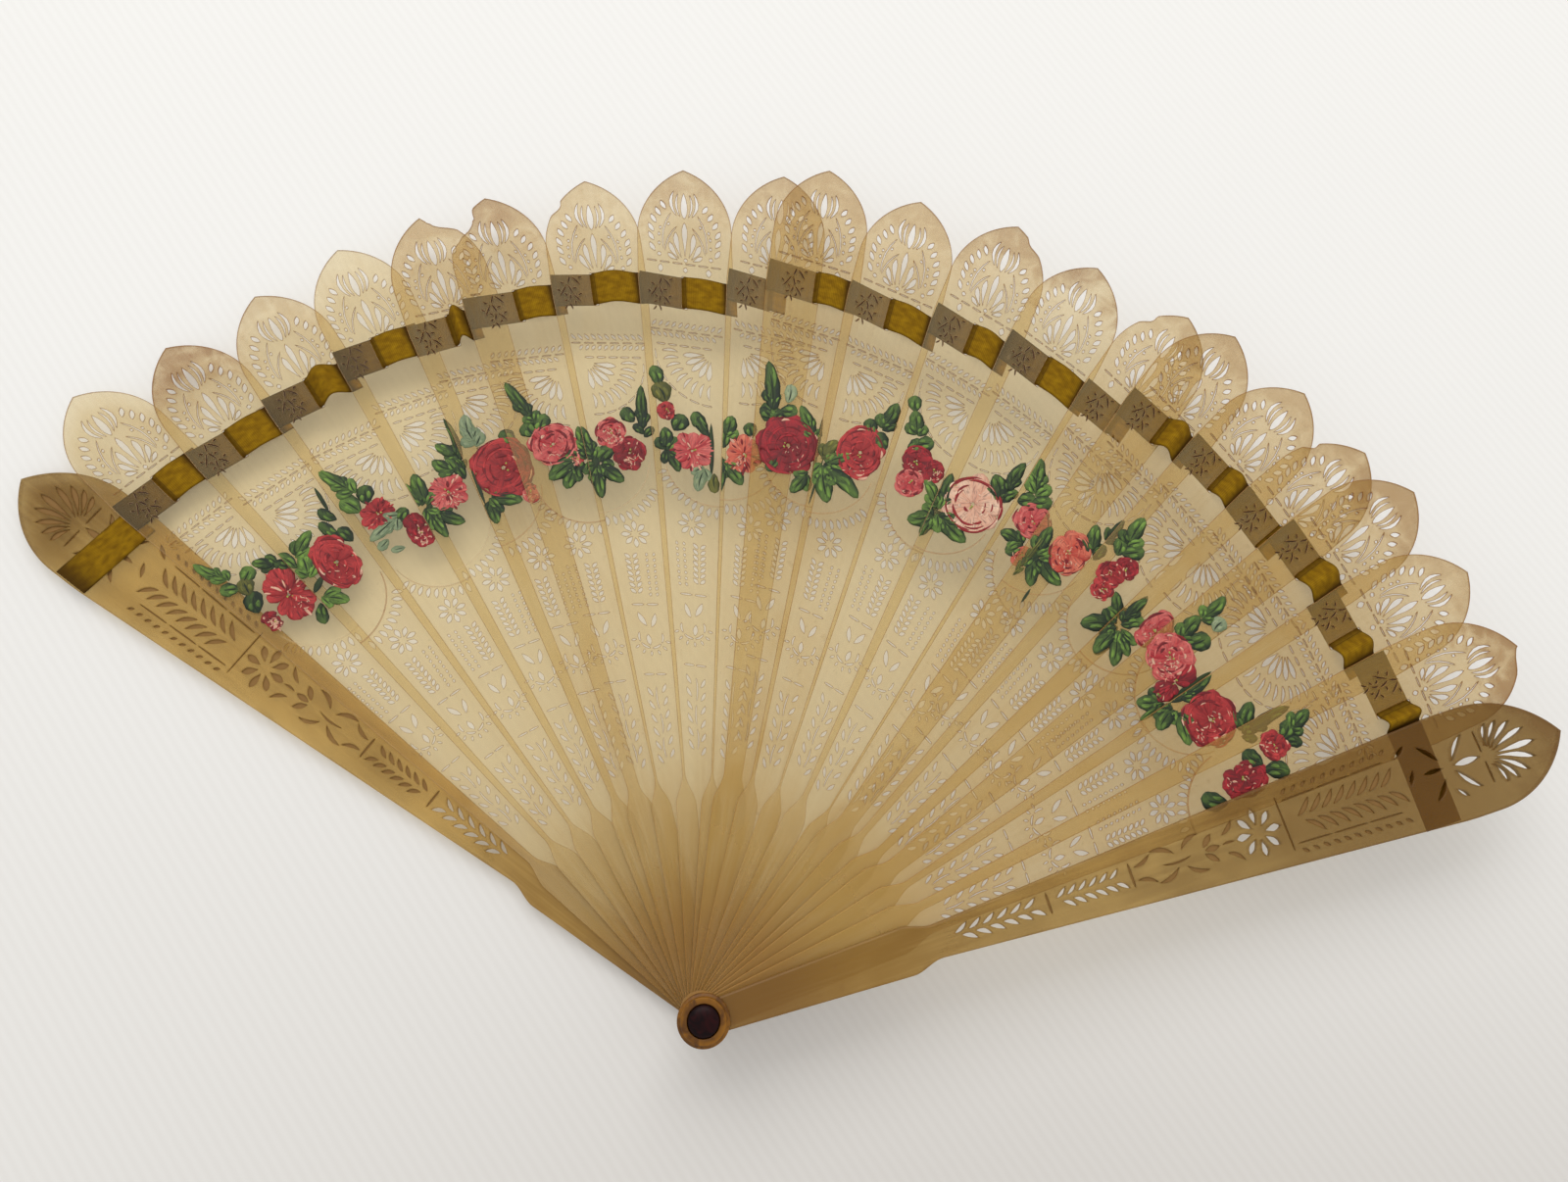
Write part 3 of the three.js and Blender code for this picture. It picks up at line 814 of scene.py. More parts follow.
@dataclass(frozen=True)
class Ribbon:
    """A woven ribbon, laid along a path across a stick.

    At a slot it bends up from its foot over the bend's width, and its arch starts a shore's length past the slot.
    """

    width: float = 6.7
    thickness: float = 0.09
    clearance: float = 0.03
    across: int = 9
    under_steps: int = 22
    bend_steps: int = 12
    over_steps: int = 44
    flat_steps: int = 40
    foot: float = 0.45
    bend_width: float = 0.75
    shore: float = 0.25
    bow: float = 0.1
    deepest_painted_shade: float = 0.85

    def strip(self, path: Array, centre: Array, shade: Array, bow: Array) -> Shell:
        """Sweeps the ribbon's flat section along a path.

        A ring of points runs once round the section at each point of the path; the section stands square to the
        path, and a bow lifts its middle by bow times (1 - t squared), where t runs from -1 to 1 over the width.

        Args:
            path: The middle of the ribbon's thickness, as (v, w).
            centre: The middle of its width, as u, at each point of the path.
            shade: How dark it is there, 0 to 1: painted shade under the blades and at the slots and folds, and the
                darker ends on the guards.
            bow: The lift of its middle there.

        Returns:
            The closed ribbon.
        """
        t = np.linspace(-1, 1, self.across)
        step = unit(np.gradient(path, axis=0))
        heads = np.sign(step[:, 0].mean())
        normal = leftward(step) * heads
        side = np.concatenate([t, t[::-1]])
        face = np.concatenate([np.ones(self.across), -np.ones(self.across)]) * self.thickness / 2
        lift = bow[:, None] * (1 - side[None, :] ** 2)
        v = path[:, 0:1] + normal[:, 0:1] * face[None, :]
        w = path[:, 1:2] + normal[:, 1:2] * face[None, :] + lift
        u = centre[:, None] + 0 * v + side[None, :] * self.width / 2
        points = np.stack([u, v, w], axis=2).reshape(-1, 3)
        ring = 2 * self.across
        rows = len(path)
        along = np.concatenate([[0], np.cumsum(np.linalg.norm(np.diff(path, axis=0), axis=1))])
        brush = np.zeros((rows * ring, 3))
        brush[:, 0], brush[:, 1] = np.repeat(along, ring), np.tile(side * self.width / 2, rows)
        wrapped = np.arange(rows * ring).reshape(rows, ring)
        following = np.roll(wrapped, -1, axis=1)
        quads = np.stack([wrapped[:-1], following[:-1], following[1:], wrapped[1:]], axis=2).reshape(-1, 4)
        if heads > 0:
            quads = quads[:, ::-1]
        pairs = np.arange(self.across - 1)
        cap = np.stack([pairs, pairs + 1, ring - 2 - pairs, ring - 1 - pairs], axis=1)
        faces = np.vstack([quads, cap, cap[:, ::-1] + (rows - 1) * ring])
        return Shell(points, faces.tolist(), {RIBBON_DARKENING: np.repeat(shade, ring)}, {BRUSH: brush})

    def under(self, lay: RibbonLay, left: float, plate: float) -> Shell:
        """The stretch from a blade's left edge under the blade and up through its slot, with painted shade that is
        darkest at the left edge.

        Args:
            lay: How the ribbon lies on this blade.
            left: The blade's left edge there, as v.
            plate: The blade's thickness.

        Returns:
            The stretch.
        """
        low = -self.clearance - self.thickness / 2
        high = plate + self.clearance + self.thickness / 2
        flat = np.linspace(left, lay.slot + self.foot, self.under_steps)
        rise = np.linspace(0, 1, self.bend_steps + 1)[1:]
        v = np.concatenate([flat, lay.slot + self.foot - self.bend_width * rise])
        w = np.concatenate([np.full(len(flat), low), low + (high - low) * smooth(rise)])
        # Painted shade under the blade: darkest at its left edge, lightest a little past the slot.
        lit = lay.slot + 2.5
        shade = 0.46 + 0.5 * np.clip((v - lit) / (left - lit), 0, 1) ** 0.8
        return self.strip(np.column_stack([v, w]), lay.middle(v), shade, np.zeros(len(v)))

    def over(self, lay: RibbonLay, edge: float, right: float, plate: float) -> Shell:
        """The stretch over a blade's right half, which arches between the slot and the next blade's edge, with
        painted shade at the slot and at that edge.

        Args:
            lay: How the ribbon lies on this blade.
            edge: The next blade's left edge, as v.
            right: Where the stretch ends, as v.
            plate: The blade's thickness.

        Returns:
            The stretch.
        """
        start = lay.slot - self.shore
        v = np.linspace(start, right, self.over_steps)
        lift = np.sin(np.pi * np.clip((start - v) / (start - edge), 0, 1) ** 0.9) ** 1.5
        w = plate + self.clearance + self.thickness / 2 + lay.arch * lift
        # Painted shade where the ribbon goes into the slot and where it goes under the next blade.
        shade = self.deepest_painted_shade * (bell(v - lay.slot, 0.45) + bell(v - edge, 0.8))
        return self.strip(np.column_stack([v, w]), lay.middle(v), np.clip(shade, 0, 1), self.bow * lift)

    def flat(self, start: float, end: float, height: float, centre: float, slant: float, reach: float) -> Shell:
        """A flat end of the ribbon on a guard, darker from its start as far as the reach.

        Args:
            start: Where it starts, as v.
            end: Where it ends.
            height: Its middle's height.
            centre: Its middle at v = 0, as u.
            slant: How much u changes with v.
            reach: How far the darkening goes.

        Returns:
            The stretch.
        """
        v = np.linspace(start, end, self.flat_steps)
        path = np.column_stack([v, np.full(len(v), height)])
        return self.strip(path, centre + slant * v, 0.8 * bell(v - start, reach), np.zeros(len(v)))


class Pigment(Enum):
    """The garland's paints: a dark and a light of each, in linear light."""

    LEAF = (srgb(12, 32, 10), srgb(116, 154, 62))
    STALK = (srgb(12, 30, 8), srgb(60, 84, 26))
    OLIVE = (srgb(62, 66, 18), srgb(128, 128, 52))
    MIST = (srgb(106, 124, 92), srgb(150, 164, 128))
    RED = (srgb(124, 10, 18), srgb(206, 66, 66))
    WINE = (srgb(96, 6, 16), srgb(186, 36, 48))
    PINK = (srgb(166, 34, 44), srgb(226, 130, 120))
    SALMON = (srgb(176, 52, 40), srgb(228, 142, 112))
    CREAM = (srgb(208, 150, 126), srgb(240, 214, 186))
    EYE = (srgb(112, 128, 40), srgb(204, 206, 104))


@dataclass(frozen=True)
class Bloom:
    """A painted flower: its middle, half sizes along u and v, paint, petals and how much of it is worn off."""

    u: float
    v: float
    along: float
    across: float
    paint: Pigment
    petals: int = 9
    wear: float = 0.2


@dataclass(frozen=True)
class Leaf:
    """A painted leaf from its foot to its tip, with its width, its tone from dark 0 to light 1 and its paint."""

    foot_u: float
    foot_v: float
    tip_u: float
    tip_v: float
    width: float
    tone: float
    paint: Pigment = Pigment.LEAF


@dataclass
class Garland:
    """The painted leaves and flowers of one blade, as thin crowned dabs that stand on its face.

    Each dab stands a layer above the last, up to a few layers, and a coat above each level of paint below it.
    It keeps a border's width inside the blade's edge. Fullness scales every flower and every leaf's width. A
    leaf up to short_leaf long is one lobe; one from long_leaf has two pairs of side lobes. A flower's strokes
    lie in rings, and of them deep_share are deep red and, on a fully worn flower, worn_share are cream.
    """

    number: int
    outline: StickOutline
    face: float
    leaves: Sequence[Leaf]
    blooms: Sequence[Bloom]
    crown: float = 0.03
    layer: float = 0.004
    coat: float = 0.018
    border: float = 0.18
    root: float = 0.02
    fullness: float = 1.22
    layers: int = 8
    ragged: float = 0.05
    edge_shade: float = 0.3
    vein_waves: float = 26.0
    short_leaf: float = 4.6
    long_leaf: float = 7.0
    side_lobe: float = 2.6
    rose_petals: int = 10
    rings: tuple[float, ...] = (0.84, 0.6, 0.36)
    ring_strokes: float = 5.5
    eye_strokes: int = 5
    flecks: int = 40
    deep_share: float = 0.4
    worn_share: float = 0.22

    def __post_init__(self) -> None:
        """Seeds the blade's own small irregularities."""
        self.random = np.random.default_rng(100 + self.number)
        self.height = 0.0

    def any_angle(self) -> float:
        """Draws an angle from the whole circle."""
        return self.random.uniform(0, 2 * np.pi)

    def dab(self, foot: tuple[float, float], tip: tuple[float, float], width: float, tones: tuple[float, float],
            paint: Pigment, belly: float = 1.0, bend: float = 0.0, veins: float = 0.0, full: float = 0.62,
            level: int = 0, grid: tuple[int, int] = (13, 9)) -> Shell:
        """One dab of paint: a crowned lens over a spine.

        s runs from 0 to 1 along the spine and t from -1 to 1 across it. The half width is width / 2 times the
        sine of pi s ** belly raised to `full`, and the height is the crown times (1 - t squared) times the sine.

        Args:
            foot: Where the spine starts, as (u, v).
            tip: Where it ends.
            width: The dab's full width.
            tones: How light it is at the foot and at the tip.
            paint: Its paint.
            belly: Above 1 the dab is widest near its tip.
            bend: How far the spine bows to its left.
            veins: How strongly a midrib and side veins show.
            full: How blunt its ends are.
            level: How many coats lie below it.
            grid: Its rows and columns of points.

        Returns:
            The closed dab.
        """
        rows, columns = grid
        s, t = np.meshgrid(np.linspace(0, 1, rows), np.linspace(-1, 1, columns), indexing="ij")
        start, end = np.array(foot), np.array(tip)
        along = end - start
        length = max(float(np.linalg.norm(along)), 1e-3)
        across = leftward(along) / length
        sine = np.clip(np.sin(np.pi * s**belly), 0, 1) ** full
        ragged = 1 + self.ragged * np.sin(s * 17 + self.random.uniform(0, 6)) * (np.abs(t) > 0.9)
        offset = bend * 4 * s * (1 - s) + width / 2 * sine * t * ragged
        u = start[0] + along[0] * s + across[0] * offset
        v = start[1] + along[1] * s + across[1] * offset
        limit = self.outline.half_width(u) - self.border
        v = np.clip(v, -limit, limit)
        base = self.face + self.height + level * self.coat
        self.height = (self.height + self.layer) % (self.layers * self.layer)
        lift = self.crown * (1 - t * t) * sine
        top = np.stack([u, v, base + lift], axis=2).reshape(-1, 3)
        bottom = np.stack([u, v, np.full_like(u, self.face - self.root)], axis=2).reshape(-1, 3)
        side_veins = np.clip(np.sin(self.vein_waves * (s - 0.35 * np.abs(t))), 0, 1) * (np.abs(t) < 0.8)
        rib = bell(t, 0.16) + 0.7 * side_veins
        tone = tones[0] + (tones[1] - tones[0]) * s + 0.12 * t * np.sign(across[1] + 1e-6) + veins * (rib - 0.35)
        tone -= self.edge_shade * np.abs(t) ** 3
        tone = np.clip(tone + self.random.normal(0, 0.05, s.shape), 0, 1)[..., None]
        dark, light = (np.array(colour) for colour in paint.value)
        colour = (dark + (light - dark) * tone).reshape(-1, 3)
        brush = np.stack([s * length, t * width / 2, np.full_like(s, self.random.uniform(0, 40))], axis=2)
        count = rows * columns
        edge = np.concatenate([
            np.arange(columns), np.arange(1, rows) * columns + columns - 1,
            (rows - 1) * columns + np.arange(columns - 2, -1, -1), np.arange(rows - 2, 0, -1) * columns,
        ])
        following = np.roll(edge, -1)
        skirt = np.stack([edge, edge + count, following + count, following], axis=1)
        faces = np.vstack([grid_faces(rows, columns), grid_faces(rows, columns, count, True), skirt])
        if along[0] * across[1] - along[1] * across[0] > 0:
            faces = faces[:, ::-1]
        vectors = {"pigment": np.vstack([colour, colour]), BRUSH: np.tile(brush.reshape(-1, 3), (2, 1))}
        return Shell(np.vstack([top, bottom]), faces.tolist(), {}, vectors)

    def streak(self, foot: Array, tip: Array, width: float, tones: tuple[float, float], paint: Pigment,
               level: int, bend: float = 0.0) -> Shell:
        """A narrow stroke of the brush over other paint."""
        return self.dab(tuple(foot), tuple(tip), width, tones, paint, 1.0, bend, 0.0, 0.6, level, (7, 5))

    def lobe(self, foot: Array, tip: Array, width: float, tone: float, paint: Pigment, level: int,
             belly: float = 1.3) -> list[Shell]:
        """One rounded lobe of a leaf: dark at its edge, with a light streak on each side of a dark vein.

        Args:
            foot: Where it starts.
            tip: Where it ends.
            width: Its width.
            tone: How light it is, from 0 to 1.
            paint: Its pigment.
            level: Which layer of paint it lies in.
            belly: Where it is widest.

        Returns:
            Its dabs.
        """
        along = tip - foot
        length = float(np.linalg.norm(along))
        across = leftward(along) / max(length, 1e-3) * width
        bend = self.random.uniform(-0.06, 0.06) * length
        tones = (max(tone - 0.3, 0), tone)
        made = [self.dab(tuple(foot), tuple(tip), width, tones, paint, belly, bend, 0.1, 0.5, level)]
        for side in (-1, 1):
            light = foot + along * self.random.uniform(0.2, 0.4) / belly + across * 0.19 * side
            shine = tone + self.random.uniform(0.1, 0.75)
            made.append(self.streak(light, light + along * self.random.uniform(0.3, 0.5), width * 0.26,
                                    (tone, shine), paint, level + 1, bend))
        vein = foot + along * 0.08
        made.append(self.streak(vein, vein + along * 0.7, width * 0.1, (0.0, 0.1), Pigment.STALK, level + 1, bend))
        return made

    def leaf(self, leaf: Leaf) -> list[Shell]:
        """A short leaf is one lobe; a long one tapers to its tip and has lobes on both sides of its foot.

        Args:
            leaf: The leaf's places, size and paint.

        Returns:
            Its dabs.
        """
        foot, tip = np.array([leaf.foot_u, leaf.foot_v]), np.array([leaf.tip_u, leaf.tip_v])
        along = tip - foot
        length = float(np.linalg.norm(along))
        width = leaf.width * self.fullness
        if leaf.paint is Pigment.STALK:
            return [self.dab(tuple(foot), tuple(tip), width * 0.6, (0.1, 0.4), leaf.paint, 1.0, 0.0, 0.1)]
        if length < self.short_leaf:
            return self.lobe(foot, tip + along * 0.06, width * 1.12, leaf.tone, leaf.paint, 1)
        across = leftward(along) / length
        made = []
        for index in range(1 if length < self.long_leaf else 2):
            for side in (-1, 1):
                root = foot + along * (0.04 + 0.24 * index + 0.03 * side)
                reach = width * self.random.uniform(0.55, 0.8) * (1 - 0.35 * index)
                ahead = along * self.side_lobe / length * self.random.uniform(0.7, 1.1)
                end = root + ahead + across * side * reach
                tone = float(np.clip(leaf.tone + self.random.uniform(-0.25, 0.25), 0, 1))
                made += self.lobe(root, end, width * (0.74 - 0.1 * index), tone, leaf.paint, 1)
        return made + self.lobe(foot + along * 0.16, tip, width * 0.92, leaf.tone, leaf.paint, 2, 0.8)

    def stroke_paint(self, bloom: Bloom) -> tuple[Pigment, tuple[float, float]]:
        """Picks the paint of one stroke in a flower: deep red, the flower's own light, or worn cream.

        Args:
            bloom: The flower.

        Returns:
            The pigment and the tones at both ends.
        """
        pick = self.random.uniform()
        if pick < self.deep_share:
            return Pigment.RED if bloom.paint is Pigment.CREAM else Pigment.WINE, (0.0, 0.3)
        if pick < self.deep_share + self.worn_share * bloom.wear:
            return Pigment.CREAM, (0.0, 0.5)
        return bloom.paint, (self.random.uniform(0.1, 0.6), self.random.uniform(0.6, 1.0))

    def bloom(self, bloom: Bloom) -> list[Shell]:
        """A flower is broad petals that overlap, strokes over them, then an eye and the worn flecks.

        The strokes of a many-petalled flower run out from its middle; those of a rose curl round it.

        Args:
            bloom: The flower's place, size and paint.

        Returns:
            Its dabs.
        """
        middle = np.array([bloom.u, bloom.v])
        half = np.array([bloom.along, bloom.across]) * self.fullness
        size = math.sqrt(half[0] * half[1])
        made = []
        count = min(bloom.petals, 9)
        phase = self.any_angle()
        for index in range(count):
            ray = heading(phase + 2 * np.pi * index / count)
            tip = middle + half * ray * self.random.uniform(0.86, 1.06)
            width = 2.8 * math.pi / count * float(np.linalg.norm(half * ray)) * 0.64
            tone = self.random.uniform(0.05, 0.5)
            made.append(self.dab(tuple(middle + half * ray * 0.05), tuple(tip), width, (tone * 0.3, tone + 0.2),
                                 bloom.paint, 1.4, 0.0, 0.1, 0.5, 1))
        radial = bloom.petals > self.rose_petals
        for level, share in enumerate(self.rings):
            for _ in range(max(int(size * share * self.ring_strokes), 4)):
                angle = self.any_angle()
                paint, tones = self.stroke_paint(bloom)
                turn = 0.0 if radial else self.random.uniform(0.5, 1.1) * (0.45 if paint is Pigment.CREAM else 1.0)
                rays = heading(np.array([angle, angle + turn]))
                reach = share + self.random.uniform(-0.08, 0.08)
                start = middle + half * rays[0] * (reach - 0.2 if radial else reach)
                end = middle + half * rays[1] * (reach + 0.12 if radial else reach)
                made.append(self.streak(start, end, self.random.uniform(0.26, 0.6), tones, paint, 2 + level,
                                        -0.12 * size * share * turn))
        for index in range(self.eye_strokes):
            centre = middle + half * heading(self.any_angle()) * 0.12
            end = centre + self.random.uniform(-0.5, 0.5, 2)
            paint = Pigment.EYE if index < 2 else bloom.paint
            made.append(self.streak(centre, end, 0.35, (0.1, 0.7), paint, 5))
        flecks = self.random.normal(0, 0.3, (int(self.flecks * bloom.wear), 2))
        place = flecks + (-0.4, self.random.uniform(-0.3, 0.3))
        for spot in place[np.linalg.norm(place, axis=1) < 0.85]:
            centre = middle + half * spot
            made.append(self.streak(centre, centre + self.random.uniform(-0.8, 0.8, 2),
                                    self.random.uniform(0.12, 0.26), (0.0, 0.6), Pigment.CREAM, 5, 0.1))
        return made

    def shell(self) -> Shell:
        """All the blade's dabs as one shell, leaves first and flowers on top."""
        dabs = [dab for leaf in self.leaves for dab in self.leaf(leaf)]
        dabs += [dab for bloom in self.blooms for dab in self.bloom(bloom)]
        whole = dabs[0]
        sizes = np.cumsum([0] + [len(dab.points) for dab in dabs[:-1]])
        faces = [np.array(dab.faces) + start for dab, start in zip(dabs, sizes)]
        vectors = {key: np.vstack([dab.vectors[key] for dab in dabs]) for key in whole.vectors}
        return Shell(np.vstack([dab.points for dab in dabs]), np.vstack(faces).tolist(), {}, vectors)


def leaves(*rows: tuple) -> tuple[Leaf, ...]:
    """Makes leaves from rows of their fields."""
    return tuple(Leaf(*row) for row in rows)


P = Pigment
GARLANDS: dict[int, tuple[tuple[Leaf, ...], tuple[Bloom, ...]]] = {
    1: (leaves((105.4, 4.4, 109.2, 2.6, 2.6, 0.15), (109, 3.2, 112.2, 2.2, 2.4, 0.35, P.OLIVE),
               (111.6, 2.6, 112.9, -0.4, 2.2, 0.6), (111.2, 3.6, 113.4, 6.2, 1.9, 0.5),
               (113.6, 3.9, 120.7, 6.3, 1.8, 0.6), (109.9, -4.1, 113.4, -0.9, 1.9, 0.3),
               (99, -4.4, 95.6, -2.4, 1.7, 0.35), (107.6, -5.2, 110.4, -3.8, 1.6, 0.15)),
        (Bloom(104.2, -1.6, 5.3, 2.9, P.RED, 11, 0.5), Bloom(102.6, 3.6, 1.9, 1.0, P.WINE, 5, 1.0))),
    2: (leaves((99.4, 6.2, 95.6, 2.7, 2.2, 0.6), (99.5, 7.2, 95.2, 8.3, 1.9, 0.4),
               (103.5, 5.8, 108.4, 4.2, 2.6, 0.7), (108.3, 5.6, 110.8, 0.4, 2.2, 0.55),
               (106.4, 6.4, 110.6, 7.4, 1.6, 0.5), (100.7, 6.8, 102.4, 3.8, 1.8, 0.1, P.STALK),
               (106.6, -2.8, 110.8, -1.6, 1.6, 0.3), (104.2, -4.2, 107.8, -3.6, 1.8, 0.2),
               (109.4, -4.4, 113, -2.9, 1.6, 0.2), (111.6, -4.2, 117.2, -4.9, 1.1, 0.1, P.STALK)),
        (Bloom(102.9, 0.3, 5.2, 3.2, P.RED, 9, 0.25),)),
    3: (leaves((107.8, 4.4, 111.8, 6.2, 2.6, 0.6), (108.6, 2.9, 111.9, 1.4, 2.4, 0.3),
               (111.4, 3.4, 118.8, 7.1, 2.3, 0.5), (103.6, -1.2, 102, 5.8, 2.2, 0.4, P.MIST),
               (102.2, -0.2, 104.2, -2.6, 1.9, 0.3), (97.6, 1, 98.4, 3.4, 1, 0.45, P.MIST),
               (100.6, 2.8, 99.8, 5.2, 1.4, 0.35, P.MIST)),
        (Bloom(105.8, 2, 2.8, 2.7, P.RED, 12, 0.1), Bloom(99.2, -2.6, 3.3, 1.7, P.WINE, 8, 0.7))),
    4: (leaves((102.4, 6.2, 108.2, 7.8, 2, 0.5), (102.2, 5.4, 109, 5.2, 2.6, 0.4),
               (102, 5.8, 94.9, 4.4, 2, 0.35), (100.4, 4.6, 96.2, 0.4, 2.2, 0.3),
               (99, 6.6, 103.4, 4.2, 1.6, 0.1, P.STALK), (105.9, -2, 109.8, 1.2, 2.3, 0.4),
               (108.6, -3.6, 112.5, -0.6, 2, 0.4), (103.8, -2.9, 107.4, -2.3, 1.6, 0.15),
               (105.5, -3.5, 116.7, -4.1, 1.3, 0.15)),
        (Bloom(103, 0.9, 3.2, 3.1, P.PINK, 12, 0.5),)),
    5: (leaves((97.8, 5.4, 93, 5.3, 2, 0.3), (98.3, 5.2, 95.8, -0.5, 2.4, 0.35),
               (97, 6.2, 106.5, 6.4, 1, 0.1, P.STALK), (108.6, 4.4, 115.6, 4.5, 2.6, 0.4, P.MIST),
               (106.6, -2.3, 109.9, -0.9, 2.2, 0.3)),
        (Bloom(103, 0.9, 5.3, 5.0, P.RED, 8, 0.06), Bloom(96.5, -2.2, 1.8, 1.2, P.PINK, 5, 0.3))),
    6: (leaves((106.8, 2.4, 109.8, 3.6, 2.6, 0.35), (107, 1.6, 110.5, -0.3, 2.4, 0.4),
               (109, 1.6, 118.8, 5.3, 2.2, 0.35), (100.9, -5, 97.8, 2, 3.2, 0.35),
               (99.5, -3.6, 95.2, -0.6, 2.6, 0.35), (99.5, -6, 91.2, -6.6, 1.9, 0.3),
               (99.5, -6, 106.7, -5.6, 2.3, 0.35)),
        (Bloom(104.4, -0.4, 3.6, 3.9, P.PINK, 8, 0.25), Bloom(100.6, -3.7, 1.7, 0.7, P.PINK, 4, 0.3))),
    7: (leaves((98.4, 5.2, 94, 8.3, 2.6, 0.35), (98.5, 5.3, 91.5, 5, 2, 0.3),
               (99, 5.4, 106.2, 7.2, 2.4, 0.35), (98.2, 4.8, 94.2, 0.6, 2.4, 0.3),
               (98.6, 4.8, 101.4, 1.9, 2.2, 0.35), (96.5, 5.4, 100.9, 5.2, 2, 0.05, P.STALK),
               (105.6, -2.8, 108.6, -1.2, 2, 0.3), (102.2, -4.2, 112.9, -5, 2, 0.2)),
        (Bloom(99.6, -1.1, 2.9, 2.7, P.WINE, 8, 0.7), Bloom(104.2, 1.8, 2.6, 2.5, P.PINK, 8, 0.8))),
    8: (leaves((99.5, 4.4, 94.8, 2, 1.9, 0.2), (99, 4.4, 103.8, 4.6, 2.4, 0.3), (103, 2.9, 106, 1, 2.6, 0.25),
               (108.7, 4.2, 112.6, 6, 2.8, 0.35, P.OLIVE), (112, 5.4, 116.1, 6.6, 2, 0.45),
               (95.8, -2.6, 90.9, -1.2, 2.2, 0.35, P.MIST), (102.8, -3.4, 106.5, -0.9, 2, 0.4),
               (93.8, -3.9, 104.4, -4.1, 1.4, 0, P.STALK), (101.5, -3.6, 105.6, -1.7, 1.5, 0.1),
               (94.4, -4.4, 90.7, -4.4, 1.6, 0.45, P.OLIVE)),
        (Bloom(98.9, -0.4, 3.4, 3.4, P.PINK, 13, 0.25), Bloom(107.1, 4.2, 1.6, 1.5, P.RED, 5, 0.05))),
    9: (leaves((96.4, 6, 92.2, 2.2, 2.4, 0.4), (97.5, 6.4, 90.5, 6.2, 1.5, 0.3), (99, 6.5, 103, 6, 1.8, 0.35),
               (101, 6.2, 105.7, 5.4, 2.6, 0.4), (101.7, 1.2, 104.5, 2.2, 1.9, 0.3)),
        (Bloom(98.3, 2.5, 3.4, 3.1, P.SALMON, 11, 0.5),)),
    10: (leaves((98.4, 1.6, 95.4, 3.2, 1.9, 0.25), (96.2, -4.4, 91.7, -1.6, 2.3, 0.4),
                (104.9, 5.2, 108.4, 3.8, 2.8, 0.4), (107.4, 2.6, 107.8, -0.6, 2.3, 0.4),
                (105, 3.4, 117.2, 6.1, 2.6, 0.3), (109.2, 1.3, 112.9, 1.2, 1.8, 0.8, P.MIST),
                (102.6, -4.8, 109.2, -1.2, 2.2, 0.45), (95.4, -5.2, 107.6, -5.6, 1.1, 0.05, P.STALK)),
         (Bloom(100.8, 0.1, 5.1, 5.0, P.WINE, 8, 0.3),)),
    11: (leaves((89.6, 5.6, 99.5, 5.2, 0.6, 0.1, P.STALK), (98.2, 5.4, 90.9, 2.4, 3, 0.45),
                (98, 5, 93.4, -2.9, 2.6, 0.4), (98.2, 5, 101, 0.4, 2.2, 0.5),
                (99, 5.6, 103.4, 3.6, 2.2, 0.45, P.OLIVE), (106, -2.6, 109.2, -1.2, 2, 0.3),
                (104, -5.6, 106.9, -3.2, 2.2, 0.3), (107.6, -4, 113.9, -5.6, 2.6, 0.35)),
         (Bloom(102.2, -1.1, 4.7, 3.9, P.RED, 7, 0.3),)),
    12: (leaves((105.2, 3.7, 108, 2, 2, 0.35), (106.8, 2.6, 108.6, -0.2, 2.2, 0.4),
                (108.6, 2.9, 113.4, 5.2, 2.6, 0.45), (113, 5, 116, 6.2, 2, 0.5),
                (95.8, -6, 92.5, -0.9, 2.9, 0.4), (95.2, -4.6, 90.6, -4.2, 1.7, 0.5),
                (96.4, -5.4, 93, -8, 2.2, 0.35), (97.2, -5.4, 101.4, -1.2, 2, 0.6),
                (96.6, -5.6, 99.4, -3.6, 1.8, 0.15), (97.6, -5.8, 104.4, -5.6, 1.7, 0.3)),
         (Bloom(99.4, 1.2, 2.6, 2.4, P.PINK, 6, 0.1), Bloom(104, 1.4, 2.6, 2.6, P.WINE, 7, 0.1),
          Bloom(103.2, -2.3, 2.1, 1.8, P.WINE, 6, 0.35))),
    13: (leaves((95, 5.4, 92.2, 9.2, 2.9, 0.4), (95.2, 5.8, 89.9, 6.2, 1.6, 0.5),
                (95.6, 5.2, 93.2, -2, 2.9, 0.4), (96.4, 5.2, 101.4, 9.4, 2.2, 0.45),
                (97, 5, 103.9, 6, 2.1, 0.3), (103.4, -4.4, 107.9, -1, 3, 0.3),
                (104.8, -4.4, 112.8, -5, 2.2, 0.25)),
         (Bloom(100.5, 0.1, 5, 4.8, P.CREAM, 10, 0.4),)),
    14: (leaves((98.6, 1.2, 98.2, 6, 2.4, 0.3), (98.6, 1.2, 95.4, 2.9, 1.9, 0.3),
                (104.8, 6.6, 107.2, 4, 2.4, 0.35), (106, 4.6, 108.6, 1.4, 2.2, 0.4),
                (107.6, 4.4, 114.7, 7.6, 2.9, 0.45)),
         (Bloom(103.3, 2.2, 3.1, 3.1, P.PINK, 8, 0.1), Bloom(96.5, 0.3, 2, 1.1, P.SALMON, 6, 0.1))),
    15: (leaves((92, 5.1, 103.8, 5.2, 0.9, 0.4, P.OLIVE), (98, 4, 104.2, 5, 2.2, 0.35),
                (97.5, 4.2, 92.4, 1.4, 2.3, 0.35), (97.8, 3.6, 96.2, -2.8, 2.6, 0.35),
                (96, 4.6, 99.6, 3.4, 1.8, 0.05, P.STALK), (89, 0.9, 92.2, 1.1, 0.7, 0.1, P.STALK),
                (104.6, -3.9, 110, -1.2, 2.4, 0.4), (108, -4.2, 114, -4.6, 1.5, 0.2),
                (104, -4.6, 107.4, -4.8, 1.7, 0.3)),
         (Bloom(102.2, -0.5, 4, 3.1, P.SALMON, 8, 0.45),)),
